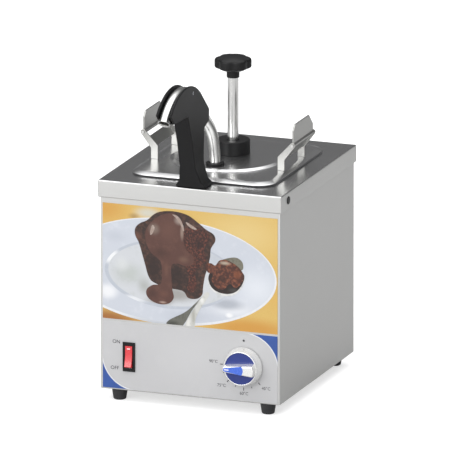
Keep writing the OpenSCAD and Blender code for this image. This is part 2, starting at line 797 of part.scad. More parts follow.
module lid_seal() {
    leg = pan_r + 0.15;
    z0 = deck_z + seat_gap;
    color(black) swept(pan_w, pan_d, pan_r) polygon([
        [leg, z0], [lid_r, z0], [lid_r, lid_edge_z - seat_gap],
        [pan_r - 5, lid_edge_z - seat_gap], [pan_r - 5, lid_edge_z - 0.5], [leg, lid_edge_z - 0.5]]);
}

// ---- Pump ----

neck_top = hub_z - 3;

module hub_cap() {
    color(black) translate([0, pump_y, 0]) difference() {
        rotate_extrude() polygon([[0, boss_z + eps], [hub_r, boss_z + eps], [hub_r, hub_z - 1],
                                  [hub_r - 1, hub_z], [0, hub_z]]);
        translate([0, 0, boss_z - 1]) cylinder(r = barrel_r + eps, h = neck_top - boss_z + 1);
        translate([0, 0, boss_z]) cylinder(r = rod_r + 0.6, h = hub_h + 2);
    }
}

module rod_guide() {
    color([0.93, 0.93, 0.9]) translate([0, pump_y, neck_top - 12])
        ring(bore_r - eps, rod_r + slide_fit, 12 - eps);
}

module pump_barrel() {
    color(steel) translate([0, pump_y, 0]) difference() {
        union() {
            translate([0, 0, barrel_floor]) cylinder(r = barrel_r, h = neck_top - barrel_floor);
            // Flange that clamps the lid from below.
            translate([0, 0, boss_z - sheet_t - 2 - eps]) cylinder(r = barrel_r + 4, h = 2);
        }
        translate([0, 0, barrel_floor - 1]) cylinder(r = bore_r, h = neck_top - barrel_floor + 2);
    }
}

module spring_seat() {
    color(steel) translate([0, pump_y, barrel_floor + eps])
        ring(bore_r - 0.1, port_r, spring_seat_t - 2 * eps);
}

// One ring of the spring's wire, at share s of its height.
wire_sides = 6;
steps = spring_turns * 16;
function wire_point(i, j) =
    let (s = i / steps, a = 360 * spring_turns * s, b = 360 * j / wire_sides,
         q = spring_r + spring_wire / 2 * cos(b),
         z0 = spring_low + spring_wire / 2 + eps,
         z1 = piston_z - spring_wire / 2 - 2 * eps)
    [q * cos(a), q * sin(a), z0 + (z1 - z0) * s + spring_wire / 2 * sin(b)];

module return_spring() {
    points = [for (i = [0 : steps], j = [0 : wire_sides - 1]) wire_point(i, j)];
    walls = [for (i = [0 : steps - 1], j = [0 : wire_sides - 1])
        let (a = i * wire_sides + j, b = i * wire_sides + (j + 1) % wire_sides)
        [a, b, b + wire_sides, a + wire_sides]];
    first = [for (j = [wire_sides - 1 : -1 : 0]) j];
    last = [for (j = [0 : wire_sides - 1]) steps * wire_sides + j];
    color(steel) translate([0, pump_y, 0]) polyhedron(points, concat([first], walls, [last]));
}

module plunger_rod() {
    color(steel) translate([0, pump_y, rod_low]) cylinder(r = rod_r, h = knob_z + 8 - rod_low);
}

module piston() {
    groove_z = piston_h / 2;
    color([0.93, 0.93, 0.9]) translate([0, pump_y, piston_z]) difference() {
        cylinder(r = bore_r - slide_fit - 0.02, h = piston_h);
        translate([0, 0, rod_low - piston_z - eps]) cylinder(r = rod_r + eps, h = piston_h);
        translate([0, 0, groove_z - 1.6]) difference() {
            cylinder(r = bore_r + 2, h = 3.2);
            translate([0, 0, -1]) cylinder(r = bore_r - 2.6, h = 6);
        }
    }
}

module piston_seal() {
    section = 1.25;
    color(black) translate([0, pump_y, piston_z + piston_h / 2]) rotate_extrude()
        translate([bore_r - slide_fit - section, 0]) circle(r = section);
}

module palm_knob() {
    neck_r = rod_r + 1;
    lobes = 6;
    dip = 26;
    color(black) translate([0, pump_y, knob_z]) difference() {
        union() {
            cylinder(r = neck_r, h = knob_neck_h + 1);
            translate([0, 0, knob_neck_h - 0.5]) rotate_extrude() polygon([
                [0, 0], [knob_r - 9, 0], [knob_r - 1.5, 2.8], [knob_r, 5], [knob_r, knob_h - 5],
                [knob_r - 2, knob_h - 2.6], [knob_r - 9, knob_h - 0.6], [0, knob_h]]);
        }
        // Finger dips between the lobes.
        for (i = [0 : lobes - 1]) rotate([0, 0, -70 + i * 360 / lobes])
            translate([knob_r + dip - 1.4, 0, -1]) cylinder(r = dip, h = knob_h + knob_neck_h + 4);
        // Socket for the rod.
        translate([0, 0, -1]) cylinder(r = rod_r + eps, h = 9 + eps);
    }
}

module valve_block() {
    lobe1 = barrel_r + 3;
    lobe2 = 11;
    tall = tube_low + socket_h - block_low - 4;
    color([0.93, 0.93, 0.9]) difference() {
        union() {
            translate([0, pump_y, block_low]) cylinder(r = lobe1, h = block_h);
            translate([0, -riser_y, block_low]) cylinder(r = lobe2, h = tall);
            translate([-8, -riser_y, block_low]) cube([16, pump_y + riser_y, block_h - 3]);
        }
        // Barrel socket, inlet chamber, its seat and the inlet port.
        translate([0, pump_y, barrel_floor]) cylinder(r = barrel_r + eps, h = 20);
        translate([0, pump_y, inlet_seat_z]) cylinder(r = cage_r, h = 20);
        translate([0, pump_y, block_low - 1]) cylinder(r = port_r, h = 20);
        // Cross passage to the riser.
        translate([0, pump_y, cross_z]) rotate([90, 0, 0]) cylinder(r = port_r - 1, h = pump_y + riser_y);
        translate([0, -riser_y, cross_z]) cylinder(r = port_r, h = 20);
        // Outlet chamber and the riser's socket.
        translate([0, -riser_y, outlet_seat_z]) cylinder(r = cage_r, h = tube_low - outlet_seat_z + eps);
        translate([0, -riser_y, tube_low]) cylinder(r = tube_r + eps, h = 40);
    }
}

module inlet_ball() {
    color(steel) translate([0, pump_y, inlet_seat_z + ball_seat + eps]) sphere(r = ball_r);
}

module outlet_ball() {
    color(steel) translate([0, -riser_y, outlet_seat_z + ball_seat + eps]) sphere(r = ball_r);
}

// ---- Spout ----

collar_neck_r = 8;

module spout_collar() {
    color(black) translate([0, -riser_y, 0]) difference() {
        union() {
            translate([0, 0, boss_z + eps]) cylinder(r = 10, h = 2.5);
            translate([0, 0, boss_z - sheet_t - 2]) cylinder(r = collar_neck_r, h = sheet_t + 3);
            translate([0, 0, boss_z - sheet_t - 3]) cylinder(r = 9.5, h = 3 - eps);
        }
        translate([0, 0, boss_z - 10]) cylinder(r = tube_r + eps, h = 20);
    }
}

// Stations along the tube's centre line, each [y, z, heading, swell of both radii].
bend_steps = 8;
nozzle_steps = 16;
function on_bend(centre, a) = concat(centre + bend_r * [cos(a), sin(a)], [a, 0]);
stations = concat(
    [[-riser_y, tube_low, 0, 0]],
    [for (i = [0 : bend_steps]) on_bend(bend1, lean_angle * i / bend_steps)],
    [for (i = [0 : nozzle_steps]) on_bend(bend2, lean_angle + nozzle_angle * i / nozzle_steps)],
    [concat(bend2 + bend_r * [cos(nozzle_at), sin(nozzle_at)]
            + lip_h * [-sin(nozzle_at), cos(nozzle_at)], [nozzle_at, lip_out])]);
tube_sides = 24;

// A ring of the tube's wall at station s: q is its radius.
function tube_ring(s, q) = [for (j = [0 : tube_sides - 1])
    let (b = 360 * j / tube_sides)
    [(q + s[3]) * sin(b), s[0] + (q + s[3]) * cos(b) * cos(s[2]),
     s[1] + (q + s[3]) * cos(b) * sin(s[2])]];

module spout_tube() {
    n = len(stations);
    m = tube_sides;
    points = [for (q = [tube_r, tube_r - tube_wall], s = stations) each tube_ring(s, q)];
    quads = [for (i = [0 : n - 2], j = [0 : m - 1]) [i * m + j, i * m + (j + 1) % m]];
    outside = [for (e = quads) [e[0], e[1], e[1] + m, e[0] + m]];
    inside = [for (e = quads) [e[1] + n * m, e[0] + n * m, e[0] + n * m + m, e[1] + n * m + m]];
    low_end = [for (j = [0 : m - 1]) [j, j + n * m, (j + 1) % m + n * m, (j + 1) % m]];
    top = (n - 1) * m;
    high_end = [for (j = [0 : m - 1])
        [top + (j + 1) % m, top + (j + 1) % m + n * m, top + j + n * m, top + j]];
    color(steel) polyhedron(points, concat(outside, inside, low_end, high_end));
}

// Both halves of the support in one: its side outline, given the flare of its foot.
module support_outline() {
    arc_from = bend2 + cheek_r * [cos(lean_angle), sin(lean_angle)];
    up = [0, deck_z + seat_gap];
    intersection() {
        union() {
            translate([-30, 0, 0]) side_plane() linear_extrude(60) union() {
                polygon([for (p = concat(shin, [arc_from - up], spine)) p + up]);
            }
            // Hood over the nozzle bend, cut square to the tube at its front end.
            translate([-30, 0, 0]) side_plane() intersection() {
                translate(bend2) cylinder(r = cheek_r, h = 60);
                linear_extrude(60) polygon([bend2 + [20, 20], arc_from,
                    bend2 + 200 * [cos(90), sin(90)],
                    bend2 + 200 * [cos(cheek_end), sin(cheek_end)],
                    bend2 + chin_r * [cos(cheek_end), sin(cheek_end)], shin[6] + up]);
            }
        }
        // Front view: straight post on a flared foot.
        translate([0, 100, deck_z + seat_gap]) rotate([90, 0, 0]) linear_extrude(400)
            polygon([for (s = [-1, 1], i = [0 : 5])
                let (k = s < 0 ? i : 5 - i,
                     w = [support_foot_w / 2, support_foot_w / 2, support_foot_w / 2 - 4,
                          cheek_w / 2 + 2, cheek_w / 2, cheek_w / 2][k],
                     z = [0, 3, 7, flare_h * 0.6, flare_h, 140][k])
                [s * w, z]]);
    }
}

module support_body() {
    step = 0.15;
    difference() {
        support_outline();
        // Channel between the cheeks: a saddle under the tube, open upwards.
        translate([-slot_w / 2, 0, 0]) side_plane() {
            difference() {
                translate(bend2) cylinder(r = cheek_r + 20, h = slot_w);
                translate(bend2) translate([0, 0, -1]) cylinder(r = bend_r - slot_w / 2, h = slot_w + 2);
                translate([bend2[0] - 200, bend2[1] - 200, -1]) cube([400, 224, slot_w + 2]);
                translate(incline_to) rotate([0, 0, heading - 180]) translate([0, -200, -1])
                    cube([200, 400, slot_w + 2]);
            }
            translate(incline_to) rotate([0, 0, heading - 180])
                translate([-1, -slot_w / 2 + step, 0]) cube([incline_l + 20, slot_w * 3, slot_w]);
        }
    }
}

joint_screws = [[toe_y + 3.5, 14], [toe_y - 0.5, 50], [toe_y + 13.5, 72]];

module support_half(side) {
    color(black) difference() {
        intersection() {
            support_body();
            translate([side < 0 ? -40 : 0, -300, 0]) cube([40, 600, 600]);
        }
        for (p = joint_screws) translate([0, p[0], deck_z + p[1]]) rotate([0, -90, 0]) {
            cylinder(r = screw_r + eps, h = 14, center = true);
            translate([0, 0, 5.6]) cylinder(r = 3.4, h = 30);
        }
        if (side > 0) side_plane() translate(bend2) rotate([0, 0, grub_angle])
            translate([bend_r, 0, slot_w / 2 - 1]) cylinder(r = 2 + eps, h = cheek_w / 2);
    }
}

module support_left() support_half(-1);
module support_right() support_half(1);

module support_screws() {
    color(steel) for (p = joint_screws) translate([-5.6, p[0], deck_z + p[1]])
        rotate([0, -90, 0]) screw(3.2, 2, screw_r, 12);
}

module grub_screw() {
    color(dark_steel) side_plane() translate(bend2) rotate([0, 0, grub_angle])
        translate([bend_r, 0, slot_w / 2]) difference() {
            cylinder(r = 2, h = cheek_w / 2 - slot_w / 2 - 0.2);
            translate([0, 0, 1]) cylinder(r = 1, h = 4, $fn = 6);
        }
}

// ---- Lift handles ----

eye_at = [hinge_x, deck_z + hinge_h];
tab_z = lid_top_z + 14;

// One arm of a bracket in the front plane: upright tab, slanted strip and eye.
module arm_outline() {
    foot_z = lid_top_z + eps;
    difference() {
        union() {
            polygon([[tab_x - tab_w / 2, foot_z], [tab_x + tab_w / 2, foot_z],
                     [tab_x + tab_w / 2, tab_z - 2], eye_at + [2.1, -2.1], eye_at + [-2.1, 2.1],
                     [tab_x - tab_w / 2, tab_z + 1]]);
            translate(eye_at) circle(r = knuckle_r);
        }
        translate(eye_at) circle(r = pin_r + eps);
    }
}

module bracket() {
    color([0.8, 0.8, 0.78]) {
        for (y = [arm_mid - arm_span / 2 - strip_t, arm_mid + arm_span / 2])
            translate([0, y + strip_t, 0]) rotate([90, 0, 0]) linear_extrude(strip_t) arm_outline();
        // Web between the arms, along the slanted stretch.
        translate([0, arm_mid + arm_span / 2 + eps, 0]) rotate([90, 0, 0])
            linear_extrude(arm_span + 2 * eps)
                polygon([[tab_x + 1, tab_z - 1.6], [tab_x + 2.2, tab_z - 2.6],
                         eye_at + [-4.4, -6], eye_at + [-5.6, -5]]);
    }
}

module hinge_pin() {
    total = arm_span + 2 * strip_t + 2;
    color(steel) translate([hinge_x, arm_mid + total / 2, eye_at[1]]) rotate([90, 0, 0])
        cylinder(r = pin_r, h = total);
}

module handle() {
    span = arm_span - 2 * handle_gap;
    y0 = arm_mid - span / 2;
    top = eye_at[1] + plate_h;
    color([0.8, 0.8, 0.78]) difference() {
        union() {
            translate([hinge_x - plate_t / 2, y0, eye_at[1]]) rotate([90, 0, 90])
                linear_extrude(plate_t)
                    polygon([[0, 0], [span, 0], [span, plate_h - 12], [span - 12, plate_h],
                             [5, plate_h], [0, plate_h - 6]]);
            translate([hinge_x, y0 + span, eye_at[1]]) rotate([90, 0, 0])
                cylinder(r = knuckle_r - 0.4, h = span);
        }
        translate([hinge_x, y0 + span + 1, eye_at[1]]) rotate([90, 0, 0])
            cylinder(r = pin_r + slide_fit, h = span + 2);
    }
}

module left_bracket() mirror([1, 0, 0]) bracket();
module right_bracket() bracket();
module left_hinge_pin() mirror([1, 0, 0]) hinge_pin();
module right_hinge_pin() hinge_pin();
module left_handle() mirror([1, 0, 0]) handle();
module right_handle() handle();

case_shell();
rear_panel();
base_plate();
top_deck();
deck_plugs();
deck_screws();
rear_screws();
base_screws();
feet();
foot_screws();
cable_gland();
gland_nut();
well();
insulation();
heating_element();
element_clamp();
clamp_nuts();
overheat_cutout();
sensor_bulb();
terminal_block();
picture_film();
control_film();
switch_housing();
switch_terminals();
switch_rocker();
thermostat_body();
thermostat_screws();
thermostat_shaft();
dial_ring();
dial_face();
dial_grip();
container();
lid();
lid_seal();
hub_cap();
rod_guide();
pump_barrel();
spring_seat();
return_spring();
plunger_rod();
piston();
piston_seal();
palm_knob();
valve_block();
inlet_ball();
outlet_ball();
spout_collar();
spout_tube();
support_left();
support_right();
support_screws();
grub_screw();
left_bracket();
right_bracket();
left_hinge_pin();
right_hinge_pin();
left_handle();
right_handle();
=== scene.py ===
"""Looks of a countertop heated sauce dispenser with a push pump.

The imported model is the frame: every size and place below is in its axes, with +X the right-hand
side seen from the front, +Y the back and +Z up. Shapes are worked out in millimetres and scaled
to metres when a mesh becomes a piece.
"""

import json
import logging
import math
from dataclasses import dataclass, field
from enum import Enum
from typing import Callable, Iterable, Optional, Sequence

import bmesh
import bpy
from mathutils import Matrix, Vector
from mathutils.bvhtree import BVHTree


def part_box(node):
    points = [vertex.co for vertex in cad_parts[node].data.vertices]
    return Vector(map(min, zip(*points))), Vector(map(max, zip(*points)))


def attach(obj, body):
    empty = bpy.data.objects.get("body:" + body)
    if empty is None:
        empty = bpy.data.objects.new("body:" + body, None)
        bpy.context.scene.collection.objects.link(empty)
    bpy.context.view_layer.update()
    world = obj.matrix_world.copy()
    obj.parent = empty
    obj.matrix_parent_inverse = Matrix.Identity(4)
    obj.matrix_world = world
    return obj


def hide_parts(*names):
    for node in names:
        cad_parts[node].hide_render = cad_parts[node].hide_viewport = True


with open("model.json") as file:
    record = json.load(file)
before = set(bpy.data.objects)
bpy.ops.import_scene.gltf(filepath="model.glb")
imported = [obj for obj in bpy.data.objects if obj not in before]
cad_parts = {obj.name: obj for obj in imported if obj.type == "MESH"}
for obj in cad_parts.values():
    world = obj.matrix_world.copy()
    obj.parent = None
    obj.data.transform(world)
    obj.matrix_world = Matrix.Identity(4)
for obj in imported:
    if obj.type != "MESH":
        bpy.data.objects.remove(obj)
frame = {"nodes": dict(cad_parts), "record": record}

LOG = logging.getLogger("dispenser")
MM = 0.001
# What laminate lets through of the light that a print reflects.
LAMINATE_SHARE = 0.7
# Points this close count as lying on the same face.
NEAR_MM = 0.02

Point = tuple[float, float]
Colour = tuple[float, float, float, float]
Mesh = bmesh.types.BMesh
Edge = bmesh.types.BMEdge
Vert = bmesh.types.BMVert
Material = bpy.types.Material
Socket = bpy.types.NodeSocket
Thing = bpy.types.Object


# ---- Small helpers ----


def linear(hex_colour: str) -> Colour:
    """Turns an sRGB hex colour into the linear values that a shader works in.

    Args:
        hex_colour: A colour such as "#d8d8d6".

    Returns:
        Red, green, blue and full opacity.
    """
    digits = hex_colour.lstrip("#")
    parts = [int(digits[i : i + 2], 16) / 255 for i in (0, 2, 4)]
    red, green, blue = (c / 12.92 if c <= 0.04045 else ((c + 0.055) / 1.055) ** 2.4 for c in parts)
    return red, green, blue, 1.0


def shade(colour: Colour, factor: float) -> Colour:
    """A colour made lighter or darker by a factor."""
    return tuple(min(1.0, c * factor) for c in colour[:3]) + (1.0,)


def printed(hex_colour: str) -> Colour:
    """A colour as ink under laminate gives it back, a little deeper than on bare paper."""
    return shade(linear(hex_colour), LAMINATE_SHARE)


def placed(name: str, data: bpy.types.ID) -> Thing:
    """Puts a mesh, light, camera or text into the scene."""
    thing = bpy.data.objects.new(name, data)
    bpy.context.scene.collection.objects.link(thing)
    return thing


def node_box(node: str) -> tuple[Vector, Vector]:
    """The lowest and highest corners of a CAD node, in millimetres."""
    low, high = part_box(node)
    return low / MM, high / MM


def node_middle(node: str) -> Vector:
    """The middle of a CAD node's box, in millimetres."""
    low, high = node_box(node)
    return (low + high) / 2


def upright(place: Sequence[float], turn: float = 0.0) -> Matrix:
    """What stands a flat shape up at a place, facing forwards, turned in its own plane."""
    flat = Matrix.Rotation(math.radians(90), 4, "X") @ Matrix.Rotation(turn, 4, "Z")
    return Matrix.Translation(place) @ flat


def pushed(bm: Mesh, way: Sequence[float]) -> list[Vert]:
    """Extrudes a flat shape and returns the vertices that moved."""
    out = bmesh.ops.extrude_face_region(bm, geom=bm.faces[:])["geom"]
    moved = [g for g in out if isinstance(g, Vert)]
    bmesh.ops.translate(bm, vec=way, verts=moved)
    return moved


def cad_copy(node: str, flat_angle: float = 2.0) -> Mesh:
    """A merged copy of a CAD node in millimetres, with its flat faces joined up.

    Args:
        node: The CAD node's name.
        flat_angle: Faces that meet at less than this many degrees become one.

    Returns:
        The copy, ready to be bevelled.
    """
    bm = bmesh.new()
    bm.from_mesh(frame["nodes"][node].data)
    bmesh.ops.scale(bm, vec=(1 / MM,) * 3, verts=bm.verts)
    bmesh.ops.remove_doubles(bm, verts=bm.verts, dist=0.004)
    bmesh.ops.dissolve_limit(
        bm, angle_limit=math.radians(flat_angle), verts=bm.verts, edges=bm.edges
    )
    return bm


def sharp_edges(
    bm: Mesh,
    angle: float = 30.0,
    keep: Callable[[Edge], bool] = lambda edge: True,
) -> list[Edge]:
    """The edges that turn by more than an angle and that a test lets through."""
    limit = math.radians(angle)
    return [
        e
        for e in bm.edges
        if len(e.link_faces) == 2 and e.calc_face_angle(0) > limit and keep(e)
    ]


def bevel_edges(bm: Mesh, edges: Sequence[Edge], radius: float, segments: int = 3) -> None:
    """Rounds edges over, as a mould's or a press tool's radius does."""
    bmesh.ops.bevel(
        bm,
        geom=list(edges),
        offset=radius,
        offset_type="OFFSET",
        segments=segments,
        profile=0.5,
        affect="EDGES",
        material=-1,
        clamp_overlap=False,
    )


def spun(profile: Sequence[Point], centre: Point = (0.0, 0.0), steps: int = 64) -> Mesh:
    """Turns a profile round an upright axis.

    Args:
        profile: Points (radius, height), from the lower end of the axis to the upper.
        centre: Where the axis stands, in x and y.
        steps: How many flats go round.

    Returns:
        The turned shape.
    """
    bm = bmesh.new()
    verts = [bm.verts.new((centre[0] + r, centre[1], z)) for r, z in profile]
    edges = [bm.edges.new(pair) for pair in zip(verts, verts[1:])]
    bmesh.ops.spin(
        bm,
        geom=verts + edges,
        cent=(centre[0], centre[1], 0),
        axis=(0, 0, 1),
        angle=math.tau,
        steps=steps,
        use_merge=True,
        use_duplicate=False,
    )
    bmesh.ops.remove_doubles(bm, verts=bm.verts, dist=0.001)
    return bm


def rounded_corner(a: Point, corner: Point, b: Point, steps: int = 4) -> list[Point]:
    """Points of a smooth turn from a to b that a corner pulls outwards."""
    turn = []
    for i in range(steps + 1):
        t = i / steps
        turn.append(
            tuple((1 - t) ** 2 * a[k] + 2 * t * (1 - t) * corner[k] + t * t * b[k] for k in (0, 1))
        )
    return turn


def smooth_outline(points: Sequence[Point], steps: int = 6) -> list[Point]:
    """A closed smooth line through a few points.

    Args:
        points: The points that the line passes through, in order.
        steps: How many points the line has for each one given.

    Returns:
        The line's points.
    """
    line = []
    count = len(points)
    for i in range(count):
        p = [points[(i + k - 1) % count] for k in range(4)]
        for s in range(steps):
            t = s / steps
            line.append(
                tuple(
                    0.5
                    * (
                        2 * p[1][k]
                        + (p[2][k] - p[0][k]) * t
                        + (2 * p[0][k] - 5 * p[1][k] + 4 * p[2][k] - p[3][k]) * t**2
                        + (3 * p[1][k] - p[0][k] - 3 * p[2][k] + p[3][k]) * t**3
                    )
                    for k in (0, 1)
                )
            )
    return line


def oval(centre: Point, half_w: float, half_h: float, steps: int = 96) -> list[Point]:
    """Points of an oval."""
    return [
        (
            centre[0] + half_w * math.cos(math.tau * i / steps),
            centre[1] + half_h * math.sin(math.tau * i / steps),
        )
        for i in range(steps)
    ]


def make_piece(
    bm: Mesh,
    name: str,
    body: str,
    material: Material,
    stands_for: Iterable[str] = (),
    crease: float = 35.0,
    turn_outwards: bool = True,
) -> Thing:
    """Makes a finished piece of a mesh in millimetres.

    Args:
        bm: The shape. It is used up.
        name: The piece's name.
        body: The CAD body that it rides on.
        material: Its finish.
        stands_for: The CAD nodes that it replaces.
        crease: Edges that turn by more than this many degrees stay crisp.
        turn_outwards: Whether its faces are turned to point outwards here.

    Returns:
        The new object.
    """
    bmesh.ops.scale(bm, vec=(MM,) * 3, verts=bm.verts)
    if turn_outwards:
        bmesh.ops.recalc_face_normals(bm, faces=bm.faces)
    limit = math.radians(crease)
    for face in bm.faces:
        face.smooth = True
    for edge in bm.edges:
        edge.smooth = len(edge.link_faces) == 2 and edge.calc_face_angle(0) < limit
    mesh = bpy.data.meshes.new(name)
    bm.to_mesh(mesh)
    bm.free()
    piece = placed(name, mesh)
    mesh.materials.append(material)
    weighted = piece.modifiers.new("weighted normals", "WEIGHTED_NORMAL")
    weighted.keep_sharp = True
    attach(piece, body)
    if stands_for:
        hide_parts(*stands_for)
    LOG.info("%s rides on %s, %d faces", name, body, len(mesh.polygons))
    return piece


# ---- Finishes ----


class Grain(Enum):
    """How a surface was worked, as the stretch of its pattern along x, y and z."""

    ROLLED_SHEET = (60.0, 60.0, 1.0)
    BRUSHED_TOP = (60.0, 1.0, 1.0)
    TURNED = (12.0, 12.0, 1.0)
    EVEN = (1.0, 1.0, 1.0)

class Shader:
    """A material's or a world's shader under way.

    Wherever a node takes a value or a colour, it takes another node's output as well.
    """

    def __init__(
        self, block: bpy.types.ID, target: str = "Principled BSDF", axes: str = "Object"
    ) -> None:
        """Starts from the plain shader of a new material or world.

        Args:
            block: The material or world.
            target: The name of the node that gives the final surface or light.
            axes: The axes that places are read in.
        """
        block.use_nodes = True
        self.tree = block.node_tree
        self.target = self.tree.nodes[target]
        self.place = self.add("TexCoord").outputs[axes]

    def put(self, node: bpy.types.Node, inputs: dict) -> None:
        """Sets a node's inputs, by socket name or number."""
        for key, value in inputs.items():
            if isinstance(value, Socket):
                self.tree.links.new(value, node.inputs[key])
            else:
                node.inputs[key].default_value = value

    def add(self, kind: str, inputs: Optional[dict] = None, **settings) -> bpy.types.Node:
        """Adds a node of a kind, with its inputs and its own properties."""
        node = self.tree.nodes.new(f"ShaderNode{kind}")
        for key, value in settings.items():
            setattr(node, key, value)
        self.put(node, inputs or {})
        return node

    def noise(
        self, vector: Socket, scale: float, detail: float = 2.0, rough: float = 0.5
    ) -> Socket:
        """A cloudy pattern from 0 to 1."""
        inputs = {"Scale": scale, "Detail": detail, "Roughness": rough, "Vector": vector}
        return self.add("TexNoise", inputs).outputs[0]

    def grain(self, size_mm: float, grain: Grain, detail: float, rough: float) -> Socket:
        """A pattern of a size, drawn out as a way of working a surface draws it."""
        per_metre = [1 / (size_mm * MM * s) for s in grain.value]
        laid = self.add("Mapping", {"Scale": per_metre, "Vector": self.place})
        return self.noise(laid.outputs[0], 1.0, detail, rough)

    def ramp(
        self,
        value: Socket,
        span: Point = (0.0, 1.0),
        onto: Point = (0.0, 1.0),
        kind: str = "LINEAR",
    ) -> Socket:
        """Maps one span of a value onto another, and holds it at the ends."""
        inputs = {"Value": value, "From Min": span[0], "From Max": span[1]}
        inputs.update({"To Min": onto[0], "To Max": onto[1]})
        return self.add("MapRange", inputs, interpolation_type=kind).outputs[0]

    def blend(self, share: Socket, under, over) -> Socket:
        """Blends from one colour to another by a share."""
        return self.add("Mix", {0: share, 6: under, 7: over}, data_type="RGBA").outputs[2]

    def maths(self, operation: str, a, b) -> Socket:
        """Combines two values."""
        return self.add("Math", {0: a, 1: b}, operation=operation).outputs[0]

    def vector(self, operation: str, inputs: dict) -> bpy.types.Node:
        """Works on a vector."""
        return self.add("VectorMath", inputs, operation=operation)


@dataclass(frozen=True)
class Finish:
    """One real finish, as a procedural shader.

    The grain changes colour, roughness and relief at its own size, and a far larger and fainter
    pattern does what handling and wiping leave on any surface.
    """

    name: str
    colour: str
    metallic: float
    roughness: float
    grain: Grain = Grain.EVEN
    grain_mm: float = 0.5
    tone: float = 0.04
    rough_swing: float = 0.05
    relief_mm: float = 0.004
    ior: float = 1.5
    coat: float = 0.0
    fuzz: float = 0.0
    handling_mm: float = 45.0
    handling: float = 0.04

    def build(self) -> Material:
        """Makes the material."""
        material = bpy.data.materials.new(self.name)
        shader = Shader(material)
        grain = shader.grain(self.grain_mm, self.grain, 3.0, 0.6)
        wiped = shader.noise(shader.place, 1 / (self.handling_mm * MM))
        base = linear(self.colour)
        tinted = shader.blend(grain, shade(base, 1 - self.tone), shade(base, 1 + self.tone))
        worn = shader.ramp(wiped, onto=(1 - self.handling, 1 + self.handling))
        smoothest = max(0.02, self.roughness - self.rough_swing)
        roughest = min(1.0, self.roughness + self.rough_swing)
        rough = shader.ramp(grain, onto=(smoothest, roughest))
        relief = {"Strength": 1.0, "Distance": self.relief_mm * MM, "Height": grain}
        shader.put(
            shader.target,
            {
                "Metallic": self.metallic,
                "IOR": self.ior,
                "Coat Weight": self.coat,
                "Coat Roughness": 0.12,
                "Sheen Weight": self.fuzz,
                "Base Color": shader.vector("SCALE", {0: tinted, "Scale": worn}).outputs[0],
                "Roughness": shader.maths("MULTIPLY", rough, worn),
                "Normal": shader.add("Bump", relief).outputs[0],
            },
        )
        return material


